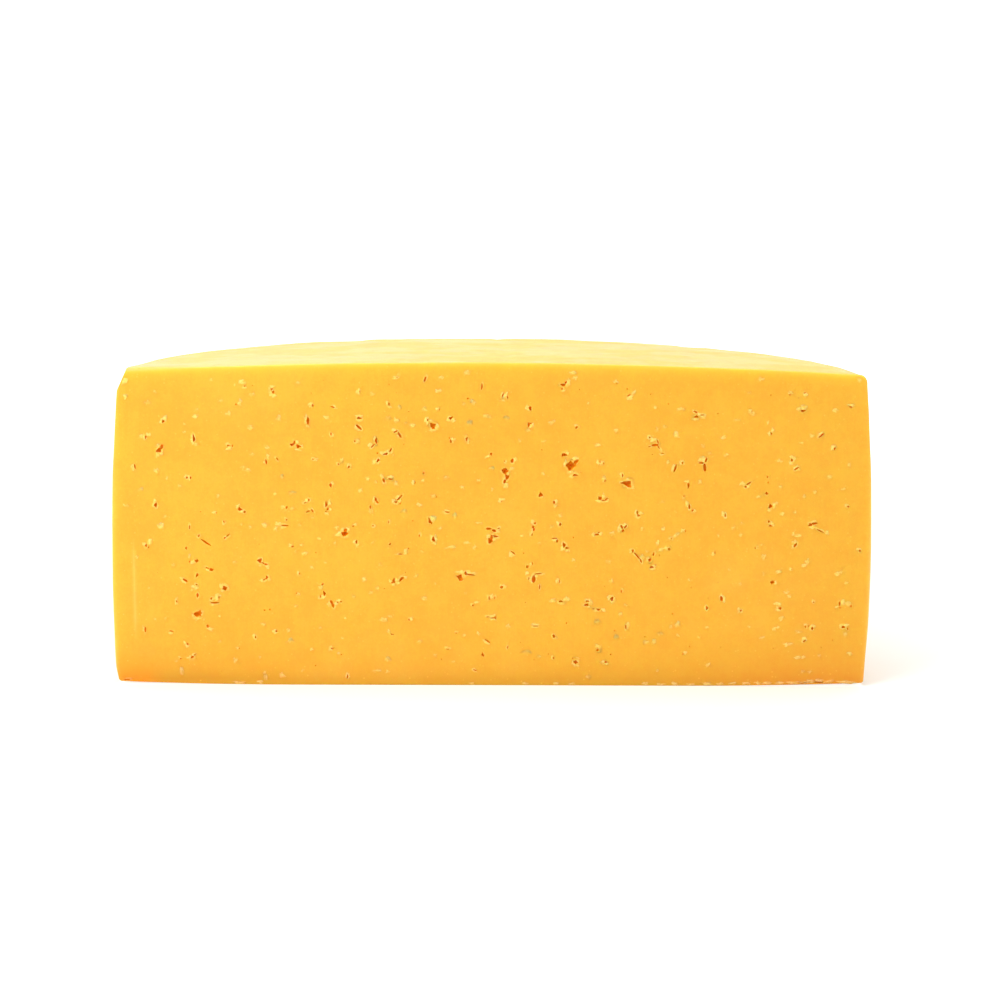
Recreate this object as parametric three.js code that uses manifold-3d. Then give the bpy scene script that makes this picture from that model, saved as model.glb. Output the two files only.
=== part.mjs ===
// Half of a pressed semi-hard cheese wheel, cut straight down through its middle.
// Millimetres, +Z up. The origin is under the middle of the piece, on the surface it stands on.
// The cut face looks along -Y, and the rind curves round behind it towards +Y.
import * as THREE from "three";
import { mergeVertices } from "three/addons/utils/BufferGeometryUtils.js";
import Module from "manifold-3d";

// The wheel
const topRadius = 133; // from the wheel's axis to the rind, at the top rim
const footSpread = 3; // how much further out the rind stands at its foot
const sideBulge = 2; // how far the rind swells between top and foot
const height = 118; // up to the crown of the top
const topDome = 3.6; // how far the top falls from its crown to its rim
const topRimRound = 4;
const footRimRound = 1.2;
const restRadius = 70; // the flat middle of the underside, which carries the weight
const underLift = 1.2; // how far the underside rises from there to its rim

// The cut
const cutFromAxis = 0; // how far in front of the wheel's axis the cut runs

// The eyes: openings that the pressed curd left, where the cut runs through them.
// across is a share of the face's half width, up is a share of the height, sizes are in millimetres,
// turn is in degrees, and points is how many curd gaps meet in the eye.
const eyes = [
  { across: 0.0, up: 0.475, wide: 5.5, tall: 5.5, deep: 4.5, turn: 10, points: 3 },
  { across: 0.215, up: 0.69, wide: 5, tall: 4.5, deep: 4, turn: 25, points: 4 },
  { across: 0.035, up: 0.66, wide: 3.2, tall: 5.5, deep: 4, turn: -10, points: 2 },
  { across: 0.365, up: 0.635, wide: 4.6, tall: 3.2, deep: 4, turn: -15, points: 3 },
  { across: 0.57, up: 0.695, wide: 3.6, tall: 5, deep: 3.5, turn: 60, points: 3 },
  { across: -0.8, up: 0.22, wide: 3.2, tall: 3, deep: 3.5, turn: 0, points: 5 },
  { across: -0.53, up: 0.745, wide: 4.6, tall: 2.6, deep: 3.5, turn: -10, points: 2 },
  { across: -0.16, up: 0.805, wide: 3.2, tall: 2.8, deep: 3.5, turn: 40, points: 4 },
  { across: -0.083, up: 0.342, wide: 3.2, tall: 3, deep: 3.5, turn: 20, points: 3 },
  { across: -0.396, up: 0.475, wide: 3.6, tall: 3.6, deep: 4, turn: 90, points: 3 },
  { across: 0.115, up: 0.338, wide: 2.6, tall: 3.6, deep: 3.5, turn: 75, points: 3 },
  { across: 0.868, up: 0.514, wide: 4.2, tall: 2.4, deep: 3, turn: 15, points: 2 },
  { across: 0.293, up: 0.589, wide: 3.2, tall: 2.6, deep: 3.5, turn: 5, points: 3 },
  { across: 0.199, up: 0.441, wide: 3, tall: 3.2, deep: 3.5, turn: 30, points: 3 },
];
const eyePinch = 0.28; // how far an eye's walls draw in between its points, as a share of its width
const eyeSink = 0.15; // how far behind the cut an eye's widest part lies, as a share of its depth

// Fineness of the facets
const wheelSegments = 96;
const curveSteps = 8;
const eyeDetail = 2;

const colour = 0xf9b733;

const wasm = await Module();
wasm.setup();

// A closed three.js geometry as a manifold-3d solid, for cutting.
function solidOf(geometry) {
  const bare = geometry.clone();
  bare.deleteAttribute("normal");
  bare.deleteAttribute("uv");
  const merged = mergeVertices(bare, 1e-3);
  return new wasm.Manifold(
    new wasm.Mesh({
      numProp: 3,
      vertProperties: merged.attributes.position.array,
      triVerts: new Uint32Array(merged.index.array),
    }),
  );
}

// A manifold-3d solid as a three.js geometry.
function geometryOf(solid) {
  const mesh = solid.getMesh();
  const geometry = new THREE.BufferGeometry();
  geometry.setAttribute("position", new THREE.BufferAttribute(mesh.vertProperties, 3));
  geometry.setIndex(new THREE.BufferAttribute(mesh.triVerts, 1));
  geometry.computeVertexNormals();
  return geometry;
}

// The wheel's outline from the middle of the underside, round the rind, to the crown of the top.
// x is the distance from the axis and y is the height.
function wheelOutline() {
  const footRadius = topRadius + footSpread;
  const footEdge = footRadius - footRimRound;
  const footCentre = underLift + footRimRound;
  const topEdge = topRadius - topRimRound;
  const topCentre = height - topDome - topRimRound;

  const outline = new THREE.CurvePath();
  const bottom = new THREE.Vector2(0, 0);
  const restEnd = new THREE.Vector2(restRadius, 0);
  const underEnd = new THREE.Vector2(footEdge, underLift);
  const footTop = new THREE.Vector2(footRadius, footCentre);
  const sideTop = new THREE.Vector2(topRadius, topCentre);
  const domeEnd = new THREE.Vector2(topEdge, height - topDome);
  const crown = new THREE.Vector2(0, height);
  const underBend = new THREE.Vector2((restRadius + footEdge) / 2, 0);
  // A quadratic curve's middle lies half as far out as its control point.
  const sideBend = footTop.clone().add(sideTop).divideScalar(2);
  sideBend.x += 2 * sideBulge;
  const domeBend = new THREE.Vector2(topEdge / 2, height);

  const quarter = Math.PI / 2;
  outline.add(new THREE.LineCurve(bottom, restEnd));
  outline.add(new THREE.QuadraticBezierCurve(restEnd, underBend, underEnd));
  outline.add(new THREE.EllipseCurve(footEdge, footCentre, footRimRound, footRimRound, -quarter, 0));
  outline.add(new THREE.QuadraticBezierCurve(footTop, sideBend, sideTop));
  outline.add(new THREE.EllipseCurve(topEdge, topCentre, topRimRound, topRimRound, 0, quarter));
  outline.add(new THREE.QuadraticBezierCurve(domeEnd, domeBend, crown));

  const points = outline.curves.flatMap((curve) => {
    const steps = curve.isLineCurve ? 1 : curveSteps;
    return curve.getPoints(steps).slice(1);
  });
  points.unshift(bottom);
  points[points.length - 1].x = 0;
  return points;
}

// The whole wheel, turned so that its axis stands along +Z.
function wheelSolid(outline) {
  const lathe = new THREE.LatheGeometry(outline, wheelSegments);
  lathe.rotateX(Math.PI / 2);
  return solidOf(lathe);
}

// What the cut takes away: everything in front of it.
function awaySolid(widest) {
  const deep = 2 * widest;
  const box = new THREE.BoxGeometry(3 * widest, deep, 3 * height);
  box.translate(0, -cutFromAxis - deep / 2, 0);
  return solidOf(box);
}

// One eye: a rounded hollow that draws in between its points.
function eyeSolid(eye, halfWidth) {
  const hollow = new THREE.IcosahedronGeometry(1, eyeDetail);
  const place = hollow.attributes.position;
  const point = new THREE.Vector3();
  for (let i = 0; i < place.count; i += 1) {
    point.fromBufferAttribute(place, i);
    const around = Math.atan2(point.z, point.x);
    const draw = 1 - (eyePinch * (1 - Math.cos(eye.points * around))) / 2;
    place.setXYZ(i, point.x * draw, point.y, point.z * draw);
  }
  hollow.scale(eye.wide / 2, eye.deep, eye.tall / 2);
  hollow.rotateY(THREE.MathUtils.degToRad(eye.turn));
  hollow.translate(eye.across * halfWidth, -cutFromAxis + eyeSink * eye.deep, eye.up * height);
  return solidOf(hollow);
}

function cheeseHalfWheel() {
  const outline = wheelOutline();
  const widest = Math.max(...outline.map((point) => point.x));
  const halfWidth = Math.sqrt(topRadius ** 2 - cutFromAxis ** 2);
  let cheese = wheelSolid(outline).subtract(awaySolid(widest));
  for (const eye of eyes) {
    cheese = cheese.subtract(eyeSolid(eye, halfWidth));
  }
  const paste = new THREE.MeshStandardMaterial({ color: colour, roughness: 0.45, metalness: 0 });
  const mesh = new THREE.Mesh(geometryOf(cheese), paste);
  mesh.name = "cheese_half_wheel";
  mesh.position.y = (cutFromAxis - widest) / 2;
  return mesh;
}

const part = new THREE.Group();
part.add(cheeseHalfWheel());

export default part;
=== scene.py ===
# Half of a pressed semi-hard cheese wheel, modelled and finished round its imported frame.
# Metres, +Z up. The cut face looks along -Y, and the rind curves round behind it.
import math
import random

import bmesh
import bpy
from mathutils import Matrix, Vector, noise
from mathutils.geometry import interpolate_bezier


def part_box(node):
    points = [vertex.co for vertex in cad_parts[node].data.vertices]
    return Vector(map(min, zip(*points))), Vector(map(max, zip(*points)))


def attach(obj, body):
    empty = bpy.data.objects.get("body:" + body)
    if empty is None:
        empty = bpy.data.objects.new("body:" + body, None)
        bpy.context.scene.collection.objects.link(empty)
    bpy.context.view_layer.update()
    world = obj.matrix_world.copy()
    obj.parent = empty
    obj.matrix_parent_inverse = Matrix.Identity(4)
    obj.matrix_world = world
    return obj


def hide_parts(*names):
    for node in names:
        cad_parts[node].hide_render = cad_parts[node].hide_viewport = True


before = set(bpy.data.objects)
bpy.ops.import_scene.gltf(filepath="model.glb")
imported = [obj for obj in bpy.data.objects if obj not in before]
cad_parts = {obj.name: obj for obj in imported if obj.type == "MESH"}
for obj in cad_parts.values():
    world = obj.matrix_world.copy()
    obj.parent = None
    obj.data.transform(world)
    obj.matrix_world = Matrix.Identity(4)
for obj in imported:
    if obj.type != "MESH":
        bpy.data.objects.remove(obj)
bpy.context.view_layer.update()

mm = 0.001
cheeseNode = "cheese_half_wheel"
low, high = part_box(cheeseNode)
widest = (high.x - low.x) / 2  # the wheel's largest radius, part of the way up its side
height = high.z
middleX = (low.x + high.x) / 2
cutY = low.y  # the cut face, which the wheel's axis stands in

paste, rind = 0, 1  # the piece's material slots
closeBy = 0.001 * mm  # what counts as the same place while the mesh is cut

wheelForm = {
    "topDrawIn": 3.75 * mm,  # how far the top rim stands inside the widest radius
    "footDrawIn": 0.75 * mm,
    "sideBulge": 2 * mm,
    "topDome": 3.6 * mm,
    "topRimRound": 4 * mm,
    "footRimRound": 1.1 * mm,
    "restRadius": 70 * mm,
    "underLift": 1.2 * mm,
    "cutEdgeRound": 0.7 * mm,
    "halfTurnSteps": 120,
    "domeSteps": 26,
    "sideSteps": 26,
    "roundSteps": 7,
    "underSteps": 8,
    "faceStep": 2.6 * mm,  # the mesh on the cut face
}

# How far the surface wanders, and over what distance.
unevenness = {
    "rind": ((0.35 * mm, 60 * mm), (0.16 * mm, 17 * mm), (0.07 * mm, 5 * mm)),
    "cut": ((0.05 * mm, 45 * mm), (0.02 * mm, 9 * mm)),
    "stillBelow": 2 * mm,  # the underside stays flat where it rests
}

# Knocks and swellings in the rind, in mm: the place across, behind the cut and up, the reach, and the push.
knocks = (
    ((132, 0, 113.6), 4.5, (0.3, 0, 0.4)),
    ((-128, 0, 114), 25, (0, 0, 0.8)),
    ((-136, 0, 0), 8, (0.8, 0, 0)),
    ((83, 104, 117), 9, (-0.3, -0.5, -1.0)),
    ((-60, 118, 116), 12, (0.3, -0.9, -0.9)),
    ((112, 74, 60), 14, (-0.8, -0.5, 0)),
    ((-20, 136, 40), 18, (0, -1.0, 0)),
)

# The corner that was knocked off beside the cut: two places across and up on the cut, in mm, how
# steeply the break runs out behind it, and how far its edges are worn.
brokenCorner = {"low": (-133.6, 106.2), "high": (-130, 113.8), "slope": 0.05, "worn": 0.8 * mm}

# A fold of the press cloth marked the top, from the cut to the back. It strays by so many widths.
clothCrease = {"across": 5 * mm, "deep": 0.35 * mm, "wide": 2.2 * mm, "strays": 1.2, "over": 25 * mm}


def curvedRun(start, corner, end, pull, steps):
    # pull is 2/3 for a gentle bend towards the corner, and 0.5523 for a round quarter turn
    begin, bend, stop = (Vector((x, 0, z)) for x, z in (start, corner, end))
    first = begin + (bend - begin) * pull
    second = stop + (bend - stop) * pull
    return interpolate_bezier(begin, first, second, stop, steps + 1)[1:]


def wheelOutline(form):
    # from the crown of the top, out over the rim, down the side and in to the middle of the underside
    gentle, roundTurn = 2 / 3, 0.5523
    topRadius = widest - form["topDrawIn"]
    footRadius = widest - form["footDrawIn"]
    rimTop = height - form["topDome"]
    rimBottom = rimTop - form["topRimRound"]
    footTop = form["underLift"] + form["footRimRound"]
    domeEnd = (topRadius - form["topRimRound"], rimTop)
    footEnd = (footRadius - form["footRimRound"], form["underLift"])
    sideTop, sideEnd = (topRadius, rimBottom), (footRadius, footTop)
    restEnd = (form["restRadius"], 0)
    swell = ((topRadius + footRadius) / 2 + 2 * form["sideBulge"], (rimBottom + footTop) / 2)
    points = [Vector((0, 0, height))]
    points += curvedRun((0, height), (domeEnd[0] / 2, height), domeEnd, gentle, form["domeSteps"])
    points += curvedRun(domeEnd, (topRadius, rimTop), sideTop, roundTurn, form["roundSteps"])
    points += curvedRun(sideTop, swell, sideEnd, gentle, form["sideSteps"])
    points += curvedRun(sideEnd, (footRadius, footEnd[1]), footEnd, roundTurn, form["roundSteps"])
    underBend = ((footEnd[0] + restEnd[0]) / 2, 0)
    points += curvedRun(footEnd, underBend, restEnd, gentle, form["underSteps"])
    points += [Vector((form["restRadius"] * share, 0, 0)) for share in (0.75, 0.5, 0.25, 0)]
    return points


def spinHalfWheel(form):
    bm = bmesh.new()
    verts = [bm.verts.new((middleX + point.x, cutY, point.z)) for point in wheelOutline(form)]
    edges = [bm.edges.new(pair) for pair in zip(verts, verts[1:])]
    centre = (middleX, cutY, 0)
    bmesh.ops.spin(
        bm, geom=verts + edges, cent=centre, axis=(0, 0, 1), angle=math.pi,
        steps=form["halfTurnSteps"], use_merge=False,
    )
    bmesh.ops.remove_doubles(bm, verts=bm.verts, dist=2 * closeBy)
    for face in bm.faces:
        face.material_index = rind
    openEdges = [edge for edge in bm.edges if edge.is_boundary]
    cap = bmesh.ops.holes_fill(bm, edges=openEdges, sides=0)["faces"]
    for face in cap:
        face.material_index = paste
    bmesh.ops.recalc_face_normals(bm, faces=bm.faces)
    return bm, cap


def roundCutEdge(bm, cap, form):
    least = math.radians(30)
    rim = [edge for face in cap for edge in face.edges if edge.calc_face_angle(0) > least]
    bmesh.ops.bevel(
        bm, geom=rim, offset=form["cutEdgeRound"], offset_type="OFFSET", segments=2,
        profile=0.5, affect="EDGES", clamp_overlap=True, material=-1,
    )


def gridCutFace(bm, form):
    faces = [face for face in bm.faces if face.material_index == paste and face.normal.y < -0.99]
    geom = list(faces)  # lists and not sets, which have no fixed order
    geom += dict.fromkeys(edge for face in faces for edge in face.edges)
    geom += dict.fromkeys(vert for face in faces for vert in face.verts)
    step = form["faceStep"]
    across = int(2 * widest / step)
    up = int(height / step)
    planes = [((middleX + (i - across / 2) * step, 0, 0), (1, 0, 0)) for i in range(across + 1)]
    planes += [((0, 0, (i + 0.5) * step), (0, 0, 1)) for i in range(up + 1)]
    for place, normal in planes:
        cut = bmesh.ops.bisect_plane(
            bm, geom=geom, dist=closeBy, plane_co=place, plane_no=normal,
        )
        geom = cut["geom"]


def breakCorner(bm, corner):
    ends = (corner["low"], corner["high"])
    lowEnd, highEnd = (Vector((across, 0, up)) * mm for across, up in ends)
    outward = (highEnd - lowEnd).cross(Vector((0, 1, 0))).normalized()
    if outward.x > 0:
        outward.negate()
    outward = (outward + Vector((0, -corner["slope"], 0))).normalized()
    middle = Vector((middleX, cutY, 0)) + (lowEnd + highEnd) / 2
    cut = bmesh.ops.bisect_plane(
        bm, geom=bm.verts[:] + bm.edges[:] + bm.faces[:], dist=closeBy,
        plane_co=middle, plane_no=outward, clear_outer=True,
    )
    edges = [piece for piece in cut["geom_cut"] if isinstance(piece, bmesh.types.BMEdge)]
    broken = bmesh.ops.holes_fill(bm, edges=edges, sides=0)["faces"]
    for face in broken:
        face.material_index = rind
    bmesh.ops.recalc_face_normals(bm, faces=bm.faces)
    bmesh.ops.bevel(
        bm, geom=edges, offset=corner["worn"], offset_type="OFFSET", segments=3,
        profile=0.5, affect="EDGES", clamp_overlap=True, material=-1,
    )


def wander(place, stretches):
    # each stretch reads another part of the noise
    total = 0
    for index, (far, over) in enumerate(stretches):
        total += far * noise.noise(place / over + Vector((7.3 * index, 3.1, 1.7)))
    return total


def makeUneven(bm):
    bm.normal_update()
    moves = []
    for vert in bm.verts:
        cutOnly = all(face.material_index == paste for face in vert.link_faces)
        amount = wander(vert.co, unevenness["cut" if cutOnly else "rind"])
        still = min(1, max(0, vert.co.z / unevenness["stillBelow"]))
        moves.append(vert.normal * amount * still)
    for vert, move in zip(bm.verts, moves):
        vert.co += move
    for place, reach, push in knocks:
        centre = Vector((middleX, cutY, 0)) + Vector(place) * mm
        for vert in bm.verts:
            near = 1 - (vert.co - centre).length / (reach * mm)
            if near > 0:
                vert.co += Vector(push) * mm * near * near * (3 - 2 * near)
    topOnly = height * 0.9
    for vert in bm.verts:
        if vert.co.z > topOnly and vert.co.y > cutY + mm:
            away = (vert.co.x - middleX - clothCrease["across"]) / clothCrease["wide"]
            away += clothCrease["strays"] * noise.noise(vert.co / clothCrease["over"])
            vert.co.z -= clothCrease["deep"] * math.exp(-away * away)
        vert.co.z = max(vert.co.z, 0)


def objectFrom(bm, name, materials):
    mesh = bpy.data.meshes.new(name)
    bm.to_mesh(mesh)
    bm.free()
    made = bpy.data.objects.new(name, mesh)
    bpy.context.scene.collection.objects.link(made)
    for material in materials:
        mesh.materials.append(material)
    return made


# The eyes: openings that the pressed curd left, where the wire ran through them.
# Each is across from the middle, up from the foot, wide, tall (mm), turned (degrees), and the number
# of curd gaps that meet in it. An eye of several hollows has a row for each.
eyes = (
    # the middle of the face
    (-1, 58.2, 2, 1, 0, 2), (1, 57.5, 1.8, 1, -20, 2), (2.6, 58.4, 0.9, 0.4, 20, 2),
    (-0.4, 53.7, 1.8, 2.3, -10, 3), (0.1, 55.1, 0.9, 1.8, 0, 2), (1.5, 55.4, 1.9, 0.9, -5, 3),
    (4.6, 79.3, 2.5, 2.4, 0, 4), (5, 78.2, 0.6, 1.4, 0, 2), (5.5, 77, 1.7, 1.8, 15, 3),
    (4.6, 75.5, 0.8, 1.6, -20, 2), (7.3, 83, 0.9, 1.8, -15, 2), (4.6, 82.8, 0.3, 0.8, 0, 2),
    (-11.3, 40.4, 2.1, 1.8, 0, 4), (-10.8, 39.5, 1.6, 1.4, 0, 3), (-9.2, 41.8, 1, 1.7, 10, 3),
    (-7.5, 41.3, 3.6, 0.45, -8, 2), (15.4, 39.8, 1.2, 2.9, 0, 2), (17, 41.8, 2.4, 0.4, 4, 2),
    (13.7, 40, 0.7, 0.9, 0, 3), (13.1, 44.3, 1.1, 1.2, 0, 4), (14.9, 45.5, 0.3, 0.9, 0, 2),
    (15.6, 60.3, 0.8, 0.9, 40, 2), (15, 59, 1, 1.3, 0, 3), (15.3, 58, 0.8, 1.2, 10, 2),
    (14.6, 56.2, 0.35, 1.2, -10, 2), (17.6, 70.7, 1.8, 1.6, 20, 3), (22.4, 68, 0.8, 1.4, 0, 2),
    (24.7, 60, 1, 1.4, 0, 4), (22.8, 54.8, 1.6, 0.45, 0, 2), (23.7, 53.9, 0.7, 1.3, 0, 2),
    (26.2, 52.4, 1.3, 2, 15, 3), (27.3, 51.3, 1.4, 0.9, 0, 3), (7.8, 49.5, 1.8, 0.5, -40, 2),
    (-16, 64.2, 1.8, 0.45, -10, 2), (-22.1, 60.8, 1.1, 2.3, 18, 3), (-20.9, 54.2, 1.2, 2.3, 15, 3),
    (-19.8, 69.7, 0.3, 0.7, 0, 2), (-25.9, 55.6, 0.4, 0.9, 0, 2), (3.7, 68.3, 0.5, 0.5, 0, 3),
    (-0.3, 85.3, 0.8, 1.2, 0, 3), (3.9, 36.7, 1.3, 1.1, 0, 4), (-0.6, 32.7, 0.4, 1.6, 0, 2),
    (1.4, 32.8, 0.3, 1.1, 0, 2), (-6.5, 30, 0.8, 0.5, 0, 2), (1.6, 25.4, 0.8, 1.2, 0, 3),
    (0.5, 25.3, 1.9, 0.35, 0, 2), (-1.2, 25.7, 0.9, 0.3, 10, 2), (17.6, 37, 0.35, 2, 0, 2),
    (25.3, 31.6, 1.8, 0.8, 0, 3), (16.3, 22.4, 2.1, 0.35, 0, 2), (-12.5, 19.6, 0.8, 0.35, 0, 2),
    (-1, 16.6, 2.2, 0.5, -35, 2), (-2.8, 11.6, 1.1, 1.6, 20, 3), (6.2, 14.4, 0.4, 1.1, 0, 2),
    (-15.6, 13.6, 1.3, 0.35, 0, 2), (22.9, 18.7, 0.8, 1.6, 15, 2), (22.9, 10.5, 0.4, 1, 0, 2),
    (-5.6, 5.8, 1.4, 0.4, -25, 2), (27.5, 23.5, 0.35, 0.7, 0, 2), (24.7, 39, 0.4, 1.1, 0, 2),
    # above the middle
    (-24, 112, 0.6, 2.1, -18, 2), (-3.8, 109.5, 0.45, 2.4, -8, 2), (3.7, 106.6, 0.4, 1.9, -20, 2),
    (5.4, 105.8, 0.4, 1.3, 10, 2), (-8.7, 105.2, 0.7, 0.7, 0, 3), (25.1, 110.4, 2.1, 1, 5, 3),
    (26.1, 111.3, 0.8, 1, -30, 2), (24.7, 109, 0.5, 0.9, 0, 2), (13.5, 101.8, 1, 2, 15, 3),
    (13, 96, 0.6, 1.6, 0, 2), (13.6, 96.5, 1.4, 0.45, 0, 2), (-23, 97.5, 0.5, 1, 0, 2),
    (-21.2, 95.4, 2.4, 1.9, -15, 4), (-21, 94.6, 1.5, 1.2, 0, 3), (-14.8, 98.2, 1.6, 1, 30, 3),
    (-14.7, 89.8, 0.7, 1.5, 15, 3), (-15.2, 91, 0.35, 0.7, 0, 2), (-9.1, 90.7, 0.8, 1.5, 0, 3),
    (-24.4, 78.3, 0.4, 1, 0, 2), (25.8, 85.3, 2.1, 1.3, 0, 3), (-18.8, 101.2, 0.5, 0.7, 0, 3),
    (28.1, 81.3, 3.4, 3.4, 0, 4), (30, 82.7, 2.2, 1.3, 40, 2), (27.8, 80.2, 1.6, 1.4, 0, 3),
    (29.8, 78, 2.1, 0.8, 0, 3), (30.1, 95.2, 1.2, 0.8, 45, 3),
    # to the right
    (44.2, 111, 0.4, 0.5, 0, 3), (48.5, 106.8, 1, 0.5, 30, 2), (72.4, 101.1, 1.5, 0.5, -20, 2),
    (72.7, 99.3, 2, 0.8, -3, 3), (74.8, 100, 1.6, 0.35, 0, 2), (56.2, 91.8, 0.8, 0.8, 0, 3),
    (58.2, 89, 2.2, 0.9, 8, 2), (59.5, 88.3, 1.4, 0.4, -55, 2), (56.3, 88.5, 1, 0.4, 20, 2),
    (60.9, 86, 0.9, 0.35, 0, 2), (59.2, 90.2, 0.4, 1.5, 20, 2), (40, 82.3, 0.4, 0.8, 0, 2),
    (38.7, 82.8, 0.4, 0.6, 0, 2), (65.6, 80.8, 0.6, 3.1, -18, 2), (68.2, 82.7, 0.6, 1, 0, 2),
    (76.6, 83.8, 0.7, 1.8, -15, 2), (75, 82.7, 1.7, 0.7, -5, 2), (76.2, 81.1, 1, 3.4, 8, 2),
    (46.8, 78, 0.5, 1.3, 0, 2), (48.7, 75, 3.3, 2.6, -8, 3), (49.4, 74.4, 1.3, 1.8, 20, 3),
    (46.8, 75.2, 1.6, 0.6, 0, 2), (40.6, 76, 0.35, 1, -30, 2), (38.9, 69.6, 1.5, 1.5, 0, 4),
    (41.2, 69.3, 1.6, 0.6, 40, 2), (40, 68.8, 1.2, 0.5, 0, 2), (52.4, 64.4, 0.5, 1.8, 10, 2),
    (52.8, 63.4, 1.2, 0.8, 0, 3), (46.9, 59.2, 0.7, 1.6, 25, 2), (48.2, 59.3, 0.6, 1.6, -40, 2),
    (47.3, 57.9, 1, 1.3, 0, 3), (37.9, 56.3, 1.9, 0.7, 0, 3), (38.7, 57.1, 0.9, 0.4, 15, 2),
    (29.6, 55.2, 0.4, 0.6, 0, 2), (70.5, 74.5, 0.7, 2.2, 0, 3), (69, 70.5, 0.4, 0.9, 0, 2),
    (71, 66.8, 0.6, 2, 0, 2), (72.2, 65.4, 0.6, 0.9, -30, 2), (69.9, 57.8, 0.3, 0.7, 0, 2),
    (64.1, 51.2, 1.2, 0.9, -30, 3), (65, 55.2, 0.3, 0.9, 0, 2), (51, 50.4, 0.9, 1.3, 15, 3),
    (52.6, 48.6, 0.45, 3.6, 42, 2), (54, 46.8, 0.5, 1.7, 25, 2), (58.5, 49.3, 0.5, 1.5, -10, 2),
    (57.2, 47.2, 1.3, 1.3, 0, 4), (58, 44.5, 1.5, 0.9, 5, 3), (59.3, 45.3, 0.4, 0.5, 0, 3),
    (80.6, 50, 0.4, 0.9, 0, 2), (43.8, 32.7, 1.2, 2, 0, 3), (34.9, 31.8, 1.4, 0.6, 0, 2),
    (34.6, 30.4, 1.9, 0.9, 0, 4), (39, 28.7, 1.9, 0.8, -5, 3), (37.2, 28.9, 0.9, 0.35, 0, 2),
    (47.2, 35.5, 0.35, 1.1, 0, 2), (49, 22.2, 0.45, 1.9, 10, 2), (39, 13.6, 0.9, 1.2, 0, 3),
    (43.8, 12, 0.6, 0.6, 0, 3), (42.1, 9, 1.1, 0.8, -20, 3), (31, 9, 1.5, 1.5, 0, 4),
    (30, 10.5, 0.5, 0.4, 0, 3), (78.3, 29.5, 0.9, 1.6, 10, 3), (70, 12.2, 0.6, 0.5, 0, 3),
    # near the right-hand rind
    (111, 108.2, 1, 0.4, 0, 2), (110.7, 101.8, 2.2, 0.9, 12, 3), (99.6, 93.5, 0.7, 1.1, 0, 3),
    (117.5, 93, 2.4, 0.6, 40, 2), (122.4, 88.3, 0.7, 1.1, -20, 3), (107.2, 84, 0.8, 1.4, 10, 3),
    (109.1, 81, 1.7, 0.5, 35, 2), (127.6, 103.3, 1.1, 0.5, 0, 2),
    (91, 74.2, 1.1, 0.9, 0, 3), (92.1, 75.4, 2.1, 0.5, 35, 2), (98.6, 71.8, 1.2, 1, 0, 4),
    (100.1, 67.1, 1.5, 1.7, -15, 3), (99.7, 61.5, 0.9, 0.9, 0, 3), (100.3, 60, 1.2, 0.8, 0, 3),
    (84, 63.7, 0.6, 1.6, 0, 3), (114.6, 60.5, 1.5, 1.3, 0, 3), (116, 60.9, 2.5, 0.8, 8, 2),
    (118.4, 58.2, 2.8, 0.4, -25, 2), (109.5, 53, 0.7, 2, -35, 2), (128, 67.2, 0.9, 0.7, 0, 3),
    (132.9, 51, 0.8, 1.1, 0, 3), (101.7, 39.2, 1.8, 1.3, -5, 4), (95.2, 51.8, 0.6, 0.6, 0, 3),
    (83.5, 33, 0.9, 2.2, 15, 2), (90.6, 28.6, 0.8, 0.9, 0, 3), (104.8, 29.5, 1.3, 1.1, -30, 3),
    (116.9, 31.9, 0.6, 0.8, 0, 3), (126.3, 31.4, 0.6, 1.8, 0, 2), (126.6, 29.9, 0.7, 0.4, 0, 2),
    (130.5, 30.5, 0.4, 1, 0, 2), (116.7, 22.2, 1.1, 1.4, 0, 3), (114.3, 22.8, 0.4, 0.9, 0, 2),
    (115.4, 23, 0.35, 0.7, 0, 2), (128, 22.7, 1.6, 1, 0, 3), (129.6, 22.1, 0.5, 0.9, 0, 2),
    (114, 17.4, 1.3, 0.6, 35, 2), (105.8, 107.5, 0.7, 0.4, 0, 2), (98.8, 77.8, 0.5, 0.8, 0, 2),
    # to the left
    (-78.5, 108, 1.1, 0.8, 0, 3), (-77.9, 106.9, 0.8, 1.2, 0, 2), (-64, 102.3, 0.7, 1.2, 0, 3),
    (-56.7, 101.8, 1.6, 0.5, -15, 2), (-47.5, 97.9, 1.8, 1, 0, 3), (-47.5, 94.6, 2.4, 0.9, -40, 2),
    (-65.7, 96.7, 0.9, 2.9, 5, 2), (-71.4, 88.2, 2, 1.1, 5, 3), (-70.6, 89, 0.8, 1.2, 0, 2),
    (-69.2, 87.6, 1.7, 1.4, 0, 3), (-57.5, 92.1, 0.5, 1.2, 0, 2), (-49, 89.6, 0.5, 0.9, 0, 2),
    (-41.4, 89.8, 0.9, 2.4, 8, 3), (-42.6, 88, 1.7, 0.5, 45, 2), (-38, 85.1, 2.2, 0.8, 18, 3),
    (-36.2, 86.5, 1.5, 0.6, 60, 2), (-40.8, 82.7, 0.9, 1.7, -25, 3), (-40.9, 85.4, 0.5, 0.7, 0, 2),
    (-34.4, 93.2, 1.5, 0.6, 25, 2), (-33, 92, 0.7, 2.6, 30, 2), (-36.8, 103, 0.7, 1.2, 0, 3),
    (-54.9, 81.3, 0.7, 0.8, 0, 3), (-51.2, 80.3, 0.8, 1.1, -35, 3), (-64, 83, 0.8, 0.6, 0, 3),
    (-76.8, 83, 0.5, 1.4, 35, 2), (-33.9, 112.5, 0.6, 0.4, 0, 2), (-47.2, 107.4, 0.35, 0.9, 0, 2),
    (-38.7, 75.5, 0.7, 1.8, 20, 2), (-36.3, 76, 1.7, 0.6, -15, 2), (-57.8, 73.7, 1, 1.5, 15, 3),
    (-65.6, 68.2, 0.6, 1.2, 0, 2), (-67, 67.2, 1.1, 0.4, 20, 2), (-73.6, 65.5, 0.6, 1.2, -20, 2),
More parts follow.
